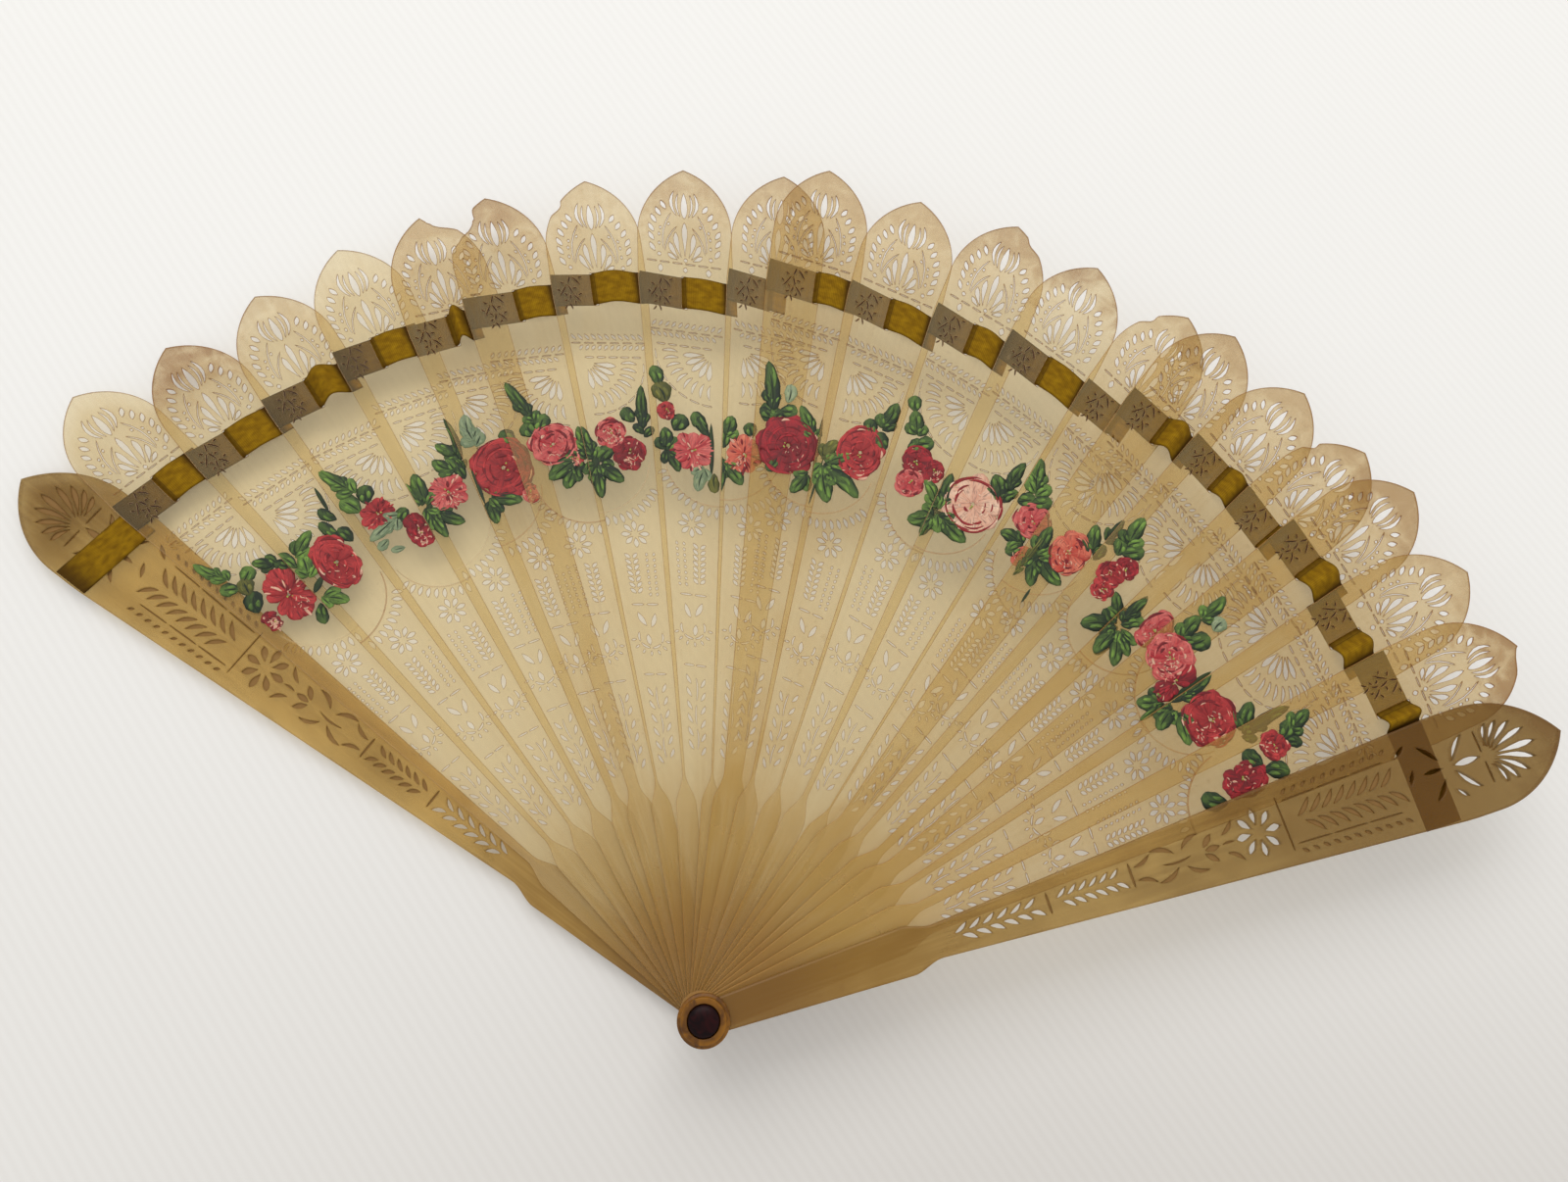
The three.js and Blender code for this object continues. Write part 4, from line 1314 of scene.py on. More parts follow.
    16: (leaves((107.4, 4, 110.6, 5.4, 2.2, 0.45), (108.2, 3.6, 111.6, 1.2, 2.3, 0.4),
                (110, 4, 116.6, 5.2, 2.6, 0.5), (97.8, -4.4, 93, 0.4, 3, 0.3),
                (98.6, -4.2, 102.2, -0.2, 2, 0.35), (97.6, -4.9, 90.6, -5.2, 2.2, 0.45),
                (96.6, -5.4, 92, -8.6, 2.4, 0.4), (98.4, -4.8, 105.8, -4.9, 1.6, 0.2),
                (99.4, -5.4, 102, -6.8, 1.7, 0.55)),
         (Bloom(100.8, 1.8, 2.1, 1.8, P.RED, 7, 0.2), Bloom(104, 2.6, 2.3, 2.2, P.RED, 7, 0.2),
          Bloom(106.9, 1.2, 2.0, 2.0, P.WINE, 7, 0.2))),
    17: (leaves((97.4, 5.6, 92.8, 9.6, 3, 0.3), (97, 5, 90.5, 4.2, 2.4, 0.4),
                (96.6, 4.4, 91.6, 0.2, 2.3, 0.4), (97, 4.4, 95, -0.2, 2, 0.4),
                (97.4, 4.4, 97.6, 0.6, 1.4, 0.5), (97.8, 5, 105, 5.4, 1.7, 0.2),
                (98.4, 4.4, 101.7, 2.9, 1.6, 0.5)),
         (Bloom(102.2, 0.3, 3.7, 2.1, P.PINK, 7, 0.35),)),
    18: (leaves((104, 3.6, 110, 4.8, 2.6, 0.4), (104.6, 2, 108.8, 0.8, 2.6, 0.35),
                (109.6, 4.2, 116.2, 5, 2.2, 0.45), (110.2, 1.4, 113.2, 1.8, 2.2, 0.6, P.MIST),
                (94.4, -3.2, 90.4, -0.6, 2.6, 0.4), (94.6, -3.6, 88.9, -3.4, 1.1, 0.4),
                (95.4, -4, 92, -6.4, 2.4, 0.35), (95.4, -3.8, 105.2, -4, 1.8, 0.15, P.STALK)),
         (Bloom(100.6, 2.2, 3.9, 3.8, P.PINK, 9, 0.8), Bloom(98.4, -1.9, 4.3, 1.4, P.WINE, 12, 0.1))),
    19: (leaves((94.6, 5.6, 90.2, 9.2, 2.6, 0.4), (95, 5.4, 90.4, 3.4, 2.6, 0.4),
                (95.4, 4.6, 93.9, -1.6, 2.3, 0.5), (97, 6, 104.4, 7.2, 2, 0.35),
                (95, 6.4, 100.6, 5.8, 1.9, 0.1, P.STALK), (103.2, -4.2, 108, -0.4, 2.6, 0.35),
                (102.8, -4.6, 113.6, -4.4, 1.9, 0.1)),
         (Bloom(99.7, 0.4, 4.6, 4.4, P.RED, 9, 0.7),)),
    20: (leaves((94.9, -3.6, 91, -1.2, 2.5, 0.25), (103.8, -0.2, 101.4, 2.8, 2.4, 0.2),
                (103.4, -1, 107.4, -3, 2.4, 0.3), (109, 2.2, 111.8, 4.4, 2.3, 0.35),
                (111, 3, 116, 5, 2.2, 0.35), (109.2, 1.6, 112, 0.4, 1.6, 0.15)),
         (Bloom(99.5, -1.3, 3.7, 2.6, P.WINE, 9, 0.4), Bloom(107.2, 1.8, 2.3, 2.3, P.RED, 8, 0.35))),
}


@dataclass(frozen=True)
class HornFinish:
    """Translucent horn: its colours, how opaque each face is at the tip and at the pivot, and its stains.

    Each span says between which distances from the pivot a change comes in.
    """

    name: str
    pale: Colour
    deep: Colour
    heart: Colour
    brown: Colour
    opacity: float
    heart_opacity: float
    rim_opacity: float
    rim_dirt_and_shade: float
    # The colour of the pits' floors: painted shade in the recesses.
    pit: Colour
    tint: Colour
    ring: float = 10.1
    heart_span: tuple[float, float] = (62.0, 14.0)
    head_span: tuple[float, float] = (30.0, 10.0)
    outer_span: tuple[float, float] = (130.0, 148.0)
    stain_span: tuple[float, float] = (146.0, 159.0)

    def material(self) -> bpy.types.Material:
        """Builds the material.

        Fine grain runs along the stick and soft clouds lie over it. Towards the pivot the horn deepens and
        lets less light through, and the tip's outer part is a little deeper too. Rims of edges and cuts are
        browner, partly dirt and partly painted shade along the cut walls, and the floors of pits take the dark
        pit colour, a painted shade in the recesses. Each stick's own tan and stain attributes brown the whole
        of it or its tip. Where a stick has a hub, a thin line is scratched round it.
        """
        shader = Shader(self.name)
        u, v, w = shader.split(shader.attribute(PLACE, "Vector"))
        seed = shader.attribute("seed") * 61.0
        grain = shader.noise(shader.join(u * 0.06 + seed, v * 1.5, w * 0.8), 1.0, 4.0)
        clouds = shader.noise(shader.join(u * 0.07 + seed, v * 0.12, seed), 1.0, 2.0, 0.6)
        spots = shader.noise(shader.join(u * 0.5 + seed, v * 0.5, seed), 1.0, 3.0)
        ends = shader.noise(shader.join(u * 0.28 + seed, v * 0.22, seed * 2.0), 1.0, 3.0, 0.8)
        tan = shader.attribute("tan")
        stain = shader.attribute("stain")
        rim = shader.attribute(RIM)
        heart = shader.step(u, *self.heart_span)
        outer = shader.step(u, *self.outer_span)
        tone = (grain - 0.5) * 0.7 + (clouds - 0.45) * 0.9 + tan * 0.8 + outer * 0.5
        colour = shader.blend(shader.step(tone, -0.25, 0.75), self.pale, self.deep)
        streaks = (clouds - 0.5) * 0.3 + (grain - 0.5) * heart * 0.8
        colour = shader.blend((heart * 0.9 + streaks).at_least(0.0).at_most(1.0), colour, self.heart)
        colour = shader.blend(shader.step(u, *self.head_span) * 0.5, colour, self.brown)
        browned = shader.step(u + (ends - 0.5) * 22.0 + v.size() * 0.5, *self.stain_span) * stain
        speck = shader.step(spots, 0.66, 0.74) * (0.2 + stain * 0.4)
        near, far = shader.split(shader.attribute("hub", "Vector"))[:2]
        along, across = u - near, v - far
        ring = (along * along + across * across) ** 0.5
        line = shader.step((ring - self.ring).size(), 0.14, 0.05) * shader.step(along, -1.0, -2.0)
        line = line * (0.4 + stain * 0.6)
        # Browner rims: partly dirt, partly painted shade along the cut walls.
        cut = shader.step(rim, 0.0, 1.0) * self.rim_dirt_and_shade * (1.0 - heart * 0.7)
        # Painted shade: the pits' floors take the pit colour, mottled.
        pit = shader.step(rim, 1.0, 1.9) * shader.step(spots, 0.2, 0.5, 0.7, 1.0)
        brown = (browned * 0.8 + speck * 0.5 + cut + line * 0.9).at_most(1.0)
        colour = shader.blend(pit, shader.blend(brown, colour, self.brown), self.pit)
        veil = self.opacity + heart * (self.heart_opacity - self.opacity) + tan * 0.12 + outer * 0.05
        veil = veil + (clouds - 0.5) * 0.12 + (grain - 0.5) * 0.06
        edge = rim * self.rim_opacity * (1.0 - heart * 0.5)
        cover = veil + browned * 0.4 + speck * 0.12 + edge + line * 0.5 + pit * 0.4
        shader.veil(cover.at_least(0.05).at_most(0.97), self.tint)
        shader.dress(Base_Color=colour, Roughness=0.34 + (grain - 0.5) * 0.2 + rim * 0.2, Specular_IOR_Level=0.4)
        shader.bump(grain + clouds * 0.6, 0.00012, 0.35)
        return shader.material


@dataclass(frozen=True)
class SilkFinish:
    """Woven silk ribbon: its lit and shaded colours and the pitch of its ribs in millimetres."""

    name: str
    light: Colour
    body: Colour
    shade: Colour
    rib: float = 0.34
    thread: float = 0.22

    def material(self) -> bpy.types.Material:
        """Builds the material: ribs across the ribbon and threads along it, with worn patches, and painted shade
        from the darkening attribute under the blades and in the folds.
        """
        shader = Shader(self.name)
        along, across, _ = shader.split(shader.attribute(BRUSH, "Vector"))
        ribs = (along * (2 * math.pi / self.rib)).sine() * 0.5 + 0.5
        threads = (across * (2 * math.pi / self.thread)).sine() * 0.5 + 0.5
        worn = shader.noise(shader.join(along * 0.5, across * 0.9, 0.0), 1.0, 3.0)
        dark = shader.attribute(RIBBON_DARKENING)
        selvage = shader.step(across.size(), 2.95, 3.3)
        colour = shader.blend(shader.step(worn, 0.15, 0.85), self.body, self.light)
        colour = shader.blend(ribs * 0.2 + threads * 0.2 + selvage * 0.3, colour, self.shade)
        # Painted shade: the darkening attribute, mottled by the worn patches, pulls the colour towards the shade
        # colour.
        colour = shader.blend((dark + (worn - 0.5) * 0.3 * dark).at_least(0.0).at_most(1.0), colour, self.shade)
        shader.dress(Base_Color=colour, Roughness=0.7 + ribs * 0.2, Specular_IOR_Level=0.1)
        shader.bump(ribs * 0.7 + threads * 0.5, 0.00005, 0.8)
        return shader.material


@dataclass(frozen=True)
class PaintFinish:
    """Thin oil paint: the dabs carry their colour, and brush streaks run along them."""

    name: str

    def material(self) -> bpy.types.Material:
        """Builds the material: each dab's own pigment, streaked light and dark along its stroke."""
        shader = Shader(self.name)
        along, across, number = shader.split(shader.attribute(BRUSH, "Vector"))
        streak = shader.noise(shader.join(along * 0.7, across * 5.0, number), 1.0, 3.0)
        patch = shader.noise(shader.join(along * 1.6, across * 1.6, number), 1.0, 3.0)
        pigment = shader.attribute("pigment", "Vector")
        colour = shader.blend(shader.step(streak, 0.4, 0.75) * 0.4, pigment, srgb(240, 214, 180), "SOFT_LIGHT")
        colour = shader.blend(shader.step(streak, 0.5, 0.3) * 0.55, colour, srgb(40, 20, 10), "MULTIPLY")
        alpha = shader.step(patch, 0.24, 0.34, 0.45, 1.0)
        shader.dress(Base_Color=colour, Alpha=alpha, Roughness=0.42 + streak * 0.25, Specular_IOR_Level=0.4)
        shader.bump(streak, 0.00006, 0.8)
        return shader.material


@dataclass(frozen=True)
class PolishedFinish:
    """A turned, polished piece with streaks round it."""

    name: str
    light: Colour
    dark: Colour
    roughness: float
    shine: float

    def material(self) -> bpy.types.Material:
        """Builds the material: cloudy streaks between two colours, with a slight unevenness of gloss, and painted
        shade that darkens the points marked as rims.
        """
        shader = Shader(self.name)
        place = shader.attribute(PLACE, "Vector")
        clouds = shader.noise(place, 0.45, 4.0, 1.2)
        fine = shader.noise(place, 3.5, 2.0)
        colour = shader.blend(shader.step(clouds, 0.3, 0.7), self.dark, self.light)
        # Painted shade where the pin's heads sit in the washers' pockets.
        colour = shader.blend(shader.attribute(RIM) * 0.7, colour, self.dark)
        roughness = self.roughness + (fine - 0.5) * 0.16
        shader.dress(Base_Color=colour, Roughness=roughness, Specular_IOR_Level=self.shine)
        shader.bump(clouds + fine * 0.3, 0.00008, 0.3)
        return shader.material


# Each horn's rims are browned partly as dirt and partly as painted shade, and its pits' floors take a painted
# shade colour.
BLADE_HORN = HornFinish("blade_horn", srgb(242, 228, 186), srgb(206, 170, 98), srgb(196, 160, 86),
                        srgb(146, 90, 32), 0.08, 0.46, 0.6, 0.95, srgb(52, 28, 8), (0.953, 0.905, 0.785))
GUARD_HORN = HornFinish("guard_horn", srgb(214, 178, 106), srgb(122, 84, 26), srgb(156, 116, 44),
                        srgb(108, 66, 24), 0.36, 0.66, 0.16, 0.3, srgb(140, 104, 54), (0.9, 0.8, 0.54))
SILK = SilkFinish("ribbon_silk", srgb(168, 128, 12), srgb(116, 80, 2), srgb(44, 22, 4))
PAINT = PaintFinish("garland_paint")
WASHER = PolishedFinish("washer_horn", srgb(140, 90, 8), srgb(84, 48, 2), 0.4, 0.3)
PIN = PolishedFinish("pin_horn", srgb(40, 6, 8), srgb(10, 2, 4), 0.36, 0.12)


@dataclass(frozen=True)
class StickLook:
    """What sets one stick apart: its extra reach, its tan, which may grow outwards, its stain and its chips."""

    shift: float = 0.0
    tan: float = 0.0
    stain: float = 0.25
    slant: float = 0.16
    chips: tuple[tuple[float, float, float], ...] = ()
    outer_tan: float = 0.0


LOOKS: dict[int, StickLook] = {
    1: StickLook(3.2, -0.5, 0.15, 0.08),
    2: StickLook(-0.6, -0.1, 1.0, 0.06),
    3: StickLook(-1.4, -0.2, 0.5, 0.08),
    4: StickLook(-0.3, -0.4, 0.2, 0.1),
    5: StickLook(-0.1, 0.25, 0.5, 0.12, ((156.0, -1, 1.6), (154.6, -1, 0.8))),
    6: StickLook(0.0, 0.1, 0.8, 0.14, ((153.6, 1, 2.3), (151.4, 1, 1.5), (149.6, 1, 0.7))),
    7: StickLook(-0.3, 0.0, 0.35, 0.15, ((152.4, 1, 0.9),)),
    8: StickLook(0.5, -0.1, 0.6, 0.16),
    9: StickLook(-0.1, 0.1, 0.6, 0.16),
    10: StickLook(2.2, 0.55, 0.5, 0.16),
    11: StickLook(-0.8, 0.35, 0.5, 0.16),
    12: StickLook(0.4, 0.1, 0.7, 0.18, ((155.4, -1, 0.9),)),
    13: StickLook(-1.2, -0.1, 0.9, 0.18),
    14: StickLook(-1.0, 0.4, 0.5, 0.18, ((152.0, 1, 0.9),)),
    15: StickLook(1.0, 0.45, 0.6, 0.16),
    16: StickLook(0.4, 0.45, 0.5, 0.14),
    17: StickLook(-0.2, 0.65, 0.7, 0.14, ((150.6, 1, 0.8),)),
    18: StickLook(1.5, 0.65, 0.7, 0.12),
    19: StickLook(-0.3, 0.65, 0.5, 0.12),
    20: StickLook(-0.3, 0.8, 0.9, 0.12, ((156.6, -1, 0.9),)),
}
LAYS: dict[int, RibbonLay] = {
    1: RibbonLay(135.4, 0.2, 0.1, 0.35), 2: RibbonLay(133.4, 1.1, 0.1, 0.4),
    3: RibbonLay(133.2, 0.25, 0.08, 2.6), 4: RibbonLay(134.3, 1.4, 0.08, 0.4),
    5: RibbonLay(132.8, 1.2, 0.05, 3.0), 6: RibbonLay(133.7, -0.95, 0.1, 0.5),
    7: RibbonLay(134.0, 1.1, 0.12, 1.1), 8: RibbonLay(131.5, 0.3, 0.2, 0.4),
    9: RibbonLay(131.5, 0.3, 0.2, 0.3), 10: RibbonLay(134.1, -0.9, 0.16, 0.5),
    11: RibbonLay(131.5, 0.3, 0.22, 0.7), 12: RibbonLay(131.5, 0.5, 0.2, 0.8),
    13: RibbonLay(131.4, 0.0, 0.2, 0.5), 14: RibbonLay(129.9, 0.2, 0.12, 0.3),
    15: RibbonLay(133.2, 0.1, 0.1, 2.2), 16: RibbonLay(132.9, 0.3, 0.1, 1.0),
    17: RibbonLay(131.2, -0.3, 0.1, 0.9), 18: RibbonLay(132.8, 0.2, 0.08, 1.7),
    19: RibbonLay(129.8, 0.8, 0.08, 1.7), 20: RibbonLay(130.4, -0.95, 0.06, 1.9),
}


@dataclass
class Fan:
    """The whole fan: the sticks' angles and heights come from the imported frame.

    Left and right halves of the piercing alternate, but the blade at twin_halves repeats the half before it.
    """

    blade_plate: Plate = Plate(0.42)
    guard_plate: Plate = Plate(1.1, 0.3, 0.16, 0.4)
    ribbon: Ribbon = Ribbon()
    blade_reach: float = 158.0
    guard_reach: float = 156.5
    blade_arch: float = 14.0
    guard_arch: float = 16.5
    flank_end: float = 130.0
    slot_length: float = 6.92
    slot_width: float = 1.1
    hole_radius: float = 1.6
    lap: float = 2.0
    coral_reach: float = 4.0
    squashed: float = 0.02
    blades: int = 20
    twin_halves: int = 5
    slot_bridge: float = 0.35
    coral_margin: float = 0.5
    hem: float = 0.05
    guard_edge: float = 8.8
    tan_starts: float = 70.0
    tan_grows: float = 60.0

    def __post_init__(self) -> None:
        """Reads the turns of the sticks from the joints' ranges, and makes the materials."""
        ranges = {joint["name"]: joint["range_deg"][1] for joint in frame["joints"]}
        span = ranges["front_guard_turn"]
        steps = [ranges[f"stick_{number:02d}_turn"] for number in range(1, self.blades + 1)]
        self.turns = [0.0, *steps, span]
        self.first_angle = 90 + span / 2
        self.blade_horn = BLADE_HORN.material()
        self.guard_horn = GUARD_HORN.material()
        self.silk = SILK.material()
        self.paint = PAINT.material()

    def stand(self, order: int, node: str) -> Stand:
        """Where the stick of that order lies, from the left; its underside comes from its CAD node."""
        return Stand(math.radians(self.first_angle - self.turns[order]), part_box(node)[0].z / MM)

    def next_edge(self, order: int, centre: float) -> float:
        """The left edge of the next stick, as v on this one, at the ribbon's distance from the pivot."""
        step = math.radians(self.turns[order + 1] - self.turns[order])
        outline = StickOutline(self.blade_reach, self.blade_arch)
        return float(outline.half_width(np.array([centre]))[0]) * math.cos(step) - centre * math.sin(step)

    def clear(self, cut: Array, lay: RibbonLay) -> bool:
        """Tells whether a cut keeps off the stretch of horn over the ribbon, left of the slot, where coral is."""
        near = np.abs(cut[:, 0] - lay.centre).min() < self.coral_reach
        return not (near and cut[:, 1].max() > lay.slot + 1.0)

    def hole(self) -> Array:
        """The round hole for the pivot pin."""
        return self.hole_radius * heading(np.linspace(0, 2 * np.pi, 32, endpoint=False))

    def slot(self, lay: RibbonLay) -> Array:
        """The ribbon's slot: a long round-cornered ring whose power-of-eight curve is nearly a rectangle."""
        round_ring = heading(np.linspace(0, 2 * np.pi, 24, endpoint=False))
        square_ring = np.sign(round_ring) * np.abs(round_ring) ** 0.25
        u, v = (square_ring * np.array([self.slot_length, self.slot_width]) / 2).T
        return np.column_stack([lay.centre + u + lay.slant * v, lay.slot + v])

    def mark(self, shell: Shell, look: StickLook, seed: float, hub: tuple[float, float] = (0.0, 0.0)) -> Shell:
        """Writes a stick's tan, stain, seed and hub over its whole shell.

        Args:
            shell: The stick.
            look: How tan and stained it is.
            seed: Sets its grain apart from others.
            hub: The middle of its scratched line, as (u, v).

        Returns:
            The same shell, marked.
        """
        count = len(shell.points)
        outer = np.clip((shell.points[:, 0] - self.tan_starts) / self.tan_grows, 0, 1)
        tan = look.tan + look.outer_tan * outer
        shell.floats.update(tan=tan, stain=np.full(count, look.stain), seed=np.full(count, seed))
        shell.vectors["hub"] = np.tile([*hub, 0.0], (count, 1))
        return shell

    def blade(self, number: int) -> None:
        """Makes one blade, its ribbon and its garland.

        Args:
            number: The blade's number from the left, 1 to 20.
        """
        node, body = f"blade_{number:02d}", f"stick_{number:02d}"
        stand = self.stand(number, node)
        look, lay, thickness = LOOKS[number], LAYS[number], self.blade_plate.thickness
        reach, flank_end = self.blade_reach + look.shift, self.flank_end + look.shift
        outline = StickOutline(reach, self.blade_arch, flank_end=flank_end)
        is_left_half = (number % 2 == 1) == (number < self.twin_halves)
        pattern = BladePattern(is_left_half, look.slant)
        slot = self.slot(lay)
        cuts = [self.hole(), slot]
        cuts += [cut for cut in pattern.cuts(outline, look.shift)
                 if apart(cut, slot, self.slot_bridge) and self.clear(cut, lay)]
        twigs = pattern.coral(lay.centre, lay.slot)
        coral = [twig for twig in twigs if inside(twig, outline, self.coral_margin)]
        hub = tuple(pattern.placed([np.array([pattern.hub])], look.shift)[0][0])
        shell = self.blade_plate.shell(outline.loop(look.chips), cuts, coral)
        plate = self.mark(shell, look, number / self.blades, hub)
        made = plate.make("horn_" + node, stand, self.blade_horn, body, "blade_horn", False)
        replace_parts(made, node)
        left = float(outline.half_width(np.array([lay.centre]))[0]) - self.hem
        under = self.ribbon.under(lay, left, thickness)
        threaded = under.make(f"ribbon_under_{number:02d}", stand, self.silk, body, "ribbon")
        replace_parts(threaded, f"ribbon_{number:02d}")
        edge = self.next_edge(number, lay.centre)
        over = self.ribbon.over(lay, edge, min(edge, lay.slot - 1) - self.lap, thickness)
        bare = over.make(f"ribbon_over_{number:02d}", stand, self.silk, body, "ribbon")
        top = (stand.height + thickness + self.ribbon.clearance) * MM
        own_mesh(bare)
        garland = Garland(number, outline, thickness, *GARLANDS[number])
        garland.shell().make(f"garland_{number:02d}", stand, self.paint, body, "paint")

    def guard(self, order: int, node: str, body: str, side: float, pattern: GuardPattern,
              look: StickLook) -> Stand:
        """Makes one guard's horn.

        Args:
            order: Its place from the left, 0 or 21.
            node: Its CAD node.
            body: The body that it rides on.
            side: -1 mirrors its carving.
            pattern: Its carving.
            look: Its tan and stain.

        Returns:
            Where it lies.
        """
        stand = self.stand(order, node)
        outline = StickOutline(self.guard_reach, self.guard_arch)
        through, sunk = pattern.carved(outline, side)
        shell = self.guard_plate.shell(outline.loop(look.chips), [self.hole()] + through, sunk)
        plate = self.mark(shell, look, 1.3 + order)
        made = plate.make("horn_" + node, stand, self.guard_horn, body, "guard_horn", False)
        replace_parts(made, node)
        return stand

    def build(self) -> None:
        """Makes both guards, every blade and the two ends of the ribbon."""
        rear_carving = GuardPattern(0.5, frozenset({"sprig"}))
        rear = self.guard(0, "rear_guard", "rear_assembly", -1.0, rear_carving, StickLook(stain=0.3))
        gap = self.ribbon.clearance + self.ribbon.thickness / 2
        end = self.next_edge(0, 135.6) - self.lap
        first = self.ribbon.flat(self.guard_edge, end, self.guard_plate.thickness + gap, 134.7, 0.1, 3.2)
        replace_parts(first.make("ribbon_rear", rear, self.silk, "rear_assembly", "ribbon"), "ribbon_rear_end")
        for number in range(1, self.blades + 1):
            self.blade(number)
        front_carving = GuardPattern(0.0, frozenset({"palmette", "lilies", "daisy", "herringbone", "sprig"}))
        front_look = StickLook(tan=0.35, stain=0.4, outer_tan=0.7)
        front = self.guard(self.blades + 1, "front_guard", "front_assembly", 1.0, front_carving, front_look)
        last = self.ribbon.flat(self.guard_edge, -self.guard_edge, -gap, 129.8, 0.03, 26.0)
        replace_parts(last.make("ribbon_front", front, self.silk, "front_assembly", "ribbon"), "ribbon_front_end")


def apart(loop: Array, other: Array, distance: float) -> bool:
    """Tells whether two loops' boxes keep a distance."""
    low, high = loop.min(axis=0) - distance, loop.max(axis=0) + distance
    return bool((high < other.min(axis=0)).any() or (low > other.max(axis=0)).any())


@dataclass(frozen=True)
class Pivot:
    """The riveted pin and its two ring washers, turned from horn."""

    segments: int = 96
    bore: float = 1.6
    flange_radius: float = 4.2
    flange: float = 0.5
    collar_radius: float = 3.6
    thickness: float = 1.5
    pocket_radius: float = 2.6
    pocket_floor: float = 0.8
    head_radius: float = 2.5
    head_thickness: float = 0.6
    dome: float = 0.7
    brim: float = 0.12
    shaft_radius: float = 1.5
    collar_drop: float = 0.25
    washer_round: float = 0.16
    pin_round: float = 0.1

    def turned(self, profile: Array, marks: Array) -> Shell:
        """Turns a profile of (radius, height) about the pivot's axis; marks say how dark each point is.

        Args:
            profile: Rows of (radius, height).
            marks: How dark each row is.

        Returns:
            The solid.
        """
        ring = heading(np.linspace(0, 2 * np.pi, self.segments + 1))
        radius, height = profile[:, 0:1], profile[:, 1:2]
        points = np.stack([radius * ring[:, 0], radius * ring[:, 1], height + 0 * ring[:, 0]], axis=2)
        faces = grid_faces(len(profile), self.segments + 1, flip=True)
        rim = np.repeat(marks, self.segments + 1)
        return Shell(points.reshape(-1, 3), faces.tolist(), {RIM: rim})

    @staticmethod
    def rounded(corners: Sequence[tuple[float, float]], radius: float, closed: bool) -> Array:
        """Rounds a profile's corners: each becomes a curve between points set back from it along both sides.

        Args:
            corners: The corners, in order.
            radius: How far back the curves start.
            closed: Whether the profile is a ring.

        Returns:
            The points.
        """
        points = np.array(corners)
        start, end = (points + unit(np.roll(points, way, axis=0) - points) * radius for way in (1, -1))
        t = np.linspace(0, 1, 6)[None, :, None]
        curve = (1 - t) ** 2 * start[:, None] + 2 * t * (1 - t) * points[:, None] + t**2 * end[:, None]
        if closed:
            ring = curve.reshape(-1, 2)
            return np.vstack([ring, ring[:1]])
        return np.vstack([points[:1], curve[1:-1].reshape(-1, 2), points[-1:]])

    def washer(self, name: str, stand: Stand, upward: bool, body: str) -> None:
        """Makes a washer that stands on its flange, with a pocket for the pin's head.

        Args:
            name: Its CAD node.
            stand: Where its flange rests.
            upward: Whether its collar points up.
            body: The body that it rides on.
        """
        corners = [(self.bore, 0), (self.flange_radius, 0), (self.flange_radius, self.flange),
                   (self.collar_radius, self.flange + self.collar_drop), (self.collar_radius, self.thickness),
                   (self.pocket_radius, self.thickness), (self.pocket_radius, self.pocket_floor),
                   (self.bore, self.pocket_floor)]
        profile = self.rounded(corners, self.washer_round, True)
        # Painted shade round the pocket, where the pin's head sits.
        marks = bell(profile[:, 0] - self.pocket_radius, 0.25)
        shell = self.turned(profile, marks)
        if not upward:
            shell.points[:, 2] = self.thickness - shell.points[:, 2]
            shell.faces = np.array(shell.faces)[:, ::-1].tolist()
        made = shell.make("turned_" + name, stand, WASHER.material(), body, "washer")
        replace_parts(made, name)

    def pin(self, body: str) -> None:
        """Makes the pin: a flat head below, a shaft, and a low domed head with a rim in front; both heads have
        painted shade towards their edges, where they sit in the washers' pockets.
        """
        low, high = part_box("pivot_pin")
        bottom, top = low.z / MM, high.z / MM
        above, under = bottom + self.head_thickness, top - self.dome - self.head_thickness
        spring = top - self.dome - self.brim
        arc = heading(np.linspace(0, np.pi / 2, 14))
        dome = np.array([0, spring]) + arc * np.array([self.head_radius, self.dome + self.brim])
        dome[-1, 0] = 0
        corners = [(0, bottom), (self.head_radius, bottom), (self.head_radius, above), (self.shaft_radius, above),
                   (self.shaft_radius, under), (self.head_radius, under), (self.head_radius, spring)]
        profile = np.vstack([self.rounded(corners, self.pin_round, False), dome[1:]])
        # Painted shade towards the heads' edges.
        marks = np.clip(profile[:, 0] / self.head_radius - 0.75, 0, 0.25) * 2
        made = self.turned(profile, marks).make("turned_pivot_pin", Stand(0.0, 0.0), PIN.material(), body, "pin")
        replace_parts(made, "pivot_pin")

    def build(self) -> None:
        """Makes both washers and the pin, which all ride with the rear guard."""
        self.washer("rear_washer", Stand(0.0, 0.0), False, "rear_assembly")
        self.washer("front_washer", Stand(0.0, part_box("front_washer")[0].z / MM), True, "rear_assembly")
        self.pin("rear_assembly")


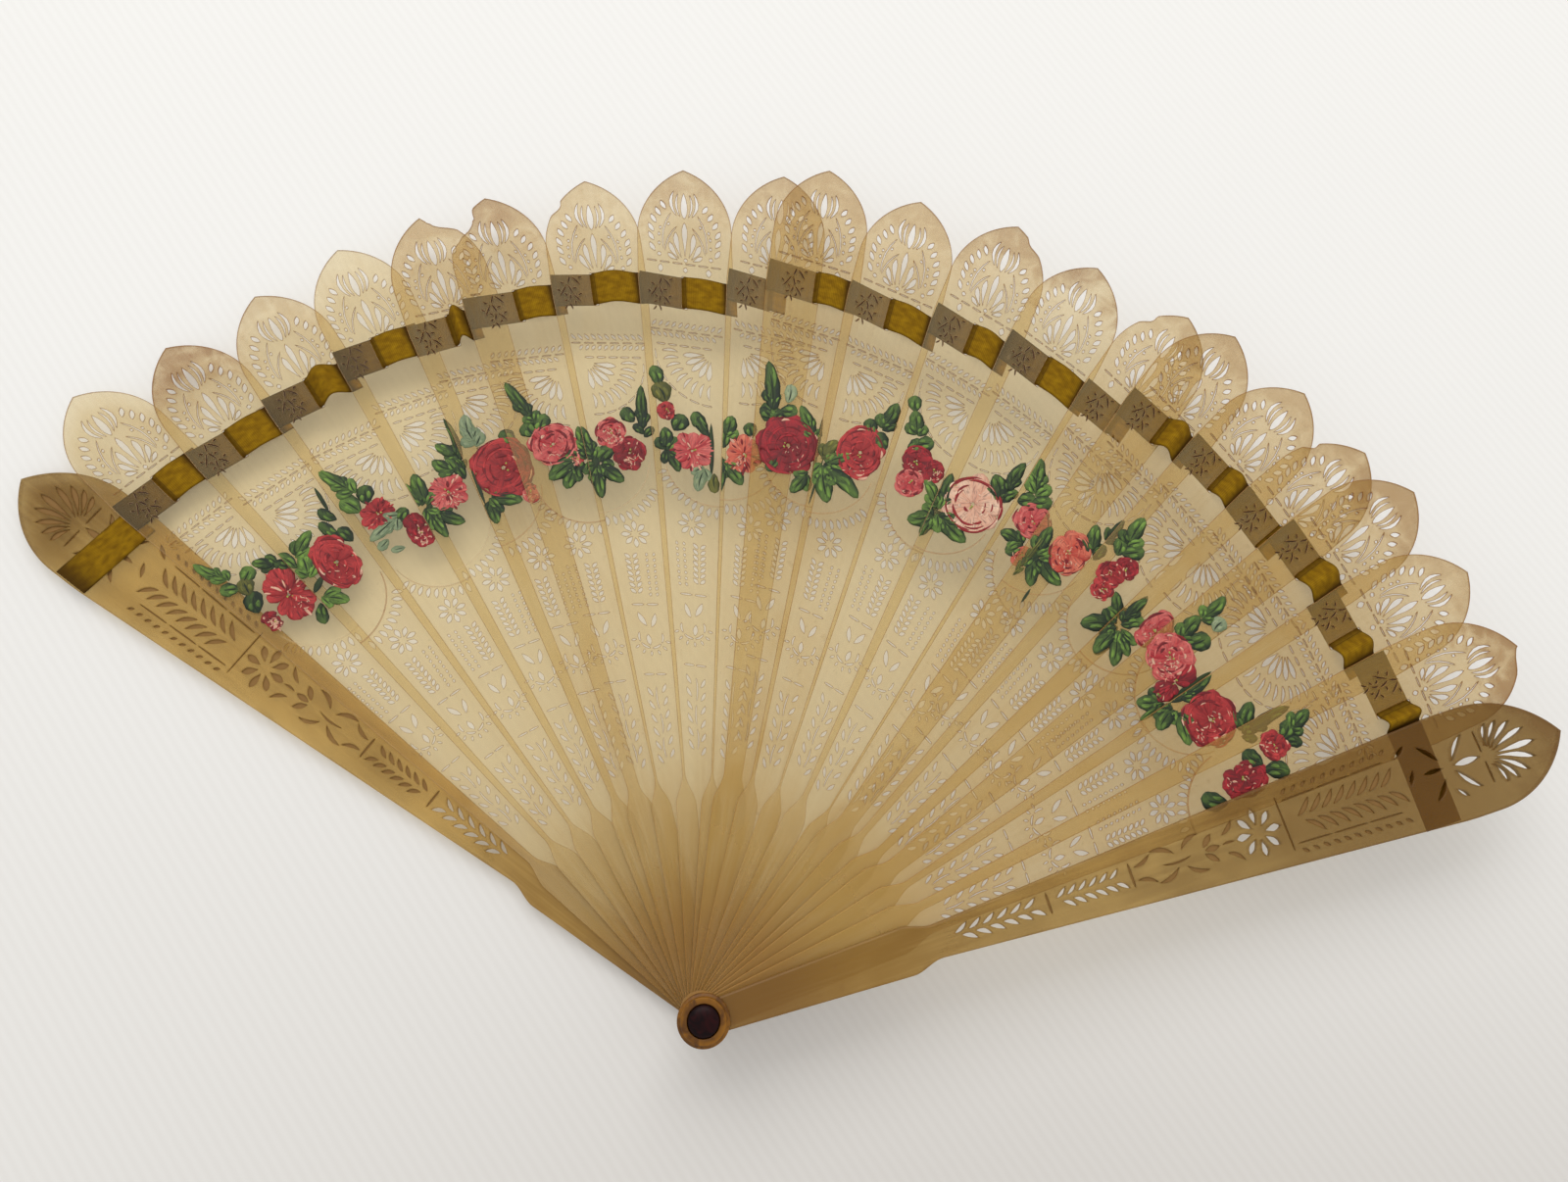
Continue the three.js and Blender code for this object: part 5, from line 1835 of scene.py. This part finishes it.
@dataclass(frozen=True)
class Studio:
    """The pale cloth under the fan, soft light and the camera."""

    camera_place: tuple[float, float, float] = (-0.00333, 0.02149, 0.20707)
    right: tuple[float, float, float] = (0.9844, 0.1631, 0.0654)
    up: tuple[float, float, float] = (-0.1743, 0.9538, 0.2448)
    back: tuple[float, float, float] = (-0.0225, -0.2524, 0.9674)
    lens: float = 26.0
    sensor: float = 36.0
    cloth: Colour = srgb(228, 227, 224)
    shade: Colour = srgb(198, 194, 189)
    cloth_reach: float = 1.5
    cloth_steps: int = 9
    glow: float = 0.2
    daylight: Colour = (1.0, 0.993, 0.98)
    ambient: float = 0.72
    lamp: float = 4.4
    lamp_size: tuple[float, float] = (1.0, 0.6)
    lamp_place: tuple[float, float, float] = (-0.2, 0.7, 0.85)
    lit_place: tuple[float, float, float] = (0.0, 0.07, 0.0)

    def camera(self) -> None:
        """Sets the camera at the photograph's viewing place, without depth of field."""
        data = bpy.data.cameras.new("camera")
        data.lens, data.sensor_width, data.clip_start = self.lens, self.sensor, 0.005
        made = put("camera", data)
        turn = Matrix((self.right, self.up, self.back)).transposed().to_4x4()
        made.matrix_world = Matrix.Translation(self.camera_place) @ turn
        bpy.context.scene.camera = made

    def floor(self) -> None:
        """Lays the cloth: a wide flat sheet with a faint twill, with painted shade that darkens it towards the
        viewer, most on the right.

        Where the camera looks at it, also through glass or in a gloss, it adds a faint glow of its own, so that
        it stays pale in the fan's thin shadows.
        """
        shader = Shader("table_cloth")
        place = shader.node("ShaderNodeTexCoord", {}, {}, "Object")
        x, y, _ = shader.split(place)
        clouds = shader.noise(place, 6.0, 2.0)
        ridges = {"Vector": place, "Scale": 260.0}
        weave = shader.node("ShaderNodeTexWave", {"bands_direction": "DIAGONAL"}, ridges)
        # Painted shade: the cloth darkens towards the viewer and more on the right, as the lamp's light falls off.
        near = shader.step(y, 0.12, -0.06) * shader.step(x, -0.16, 0.08, 0.3, 0.85)
        colour = shader.blend((near + clouds * 0.1 + weave * 0.08).at_most(1.0), self.cloth, self.shade)
        rays = ("Is Camera Ray", "Is Glossy Ray", "Is Transmission Ray")
        camera, gloss, glass = (shader.node("ShaderNodeLightPath", {}, {}, ray) for ray in rays)
        glow = shader.blend(camera.at_least(gloss).at_least(glass), (0.0, 0.0, 0.0), colour)
        shader.dress(Base_Color=colour, Roughness=0.9, Specular_IOR_Level=0.1,
                     Emission_Color=glow, Emission_Strength=self.glow)
        side = np.linspace(-self.cloth_reach, self.cloth_reach, self.cloth_steps)
        across, deep = np.meshgrid(side, side)
        points = np.stack([across, deep, 0 * deep], axis=2).reshape(-1, 3)
        mesh = bpy.data.meshes.new("table_cloth")
        mesh.from_pydata(points.tolist(), [], grid_faces(len(side), len(side)).tolist())
        mesh.materials.append(shader.material)
        put("table_cloth", mesh)

    def lights(self) -> None:
        """Lights the table with an even surrounding and one wide soft lamp above and behind."""
        world = bpy.data.worlds.new("surround")
        world.use_nodes = True
        sky = world.node_tree.nodes["Background"].inputs
        sky["Color"].default_value, sky["Strength"].default_value = (*self.daylight, 1.0), self.ambient
        bpy.context.scene.world = world
        data = bpy.data.lights.new("window", "AREA")
        data.shape, data.size, data.size_y, data.energy = "RECTANGLE", *self.lamp_size, self.lamp
        made = put("window", data)
        made.location = self.lamp_place
        made.rotation_euler = (Vector(self.lit_place) - made.location).to_track_quat("-Z", "Y").to_euler()

    def build(self) -> None:
        """Makes the camera, the floor and the lights, and keeps plain view settings."""
        bpy.context.scene.view_settings.view_transform = "Standard"
        self.camera()
        self.floor()
        self.lights()


def main() -> None:
    """Builds the studio, the fan and its pivot."""
    logging.basicConfig(level=logging.INFO, format="%(name)s: %(message)s")
    Studio().build()
    Fan().build()
    Pivot().build()


if __name__ == "__main__":
    main()
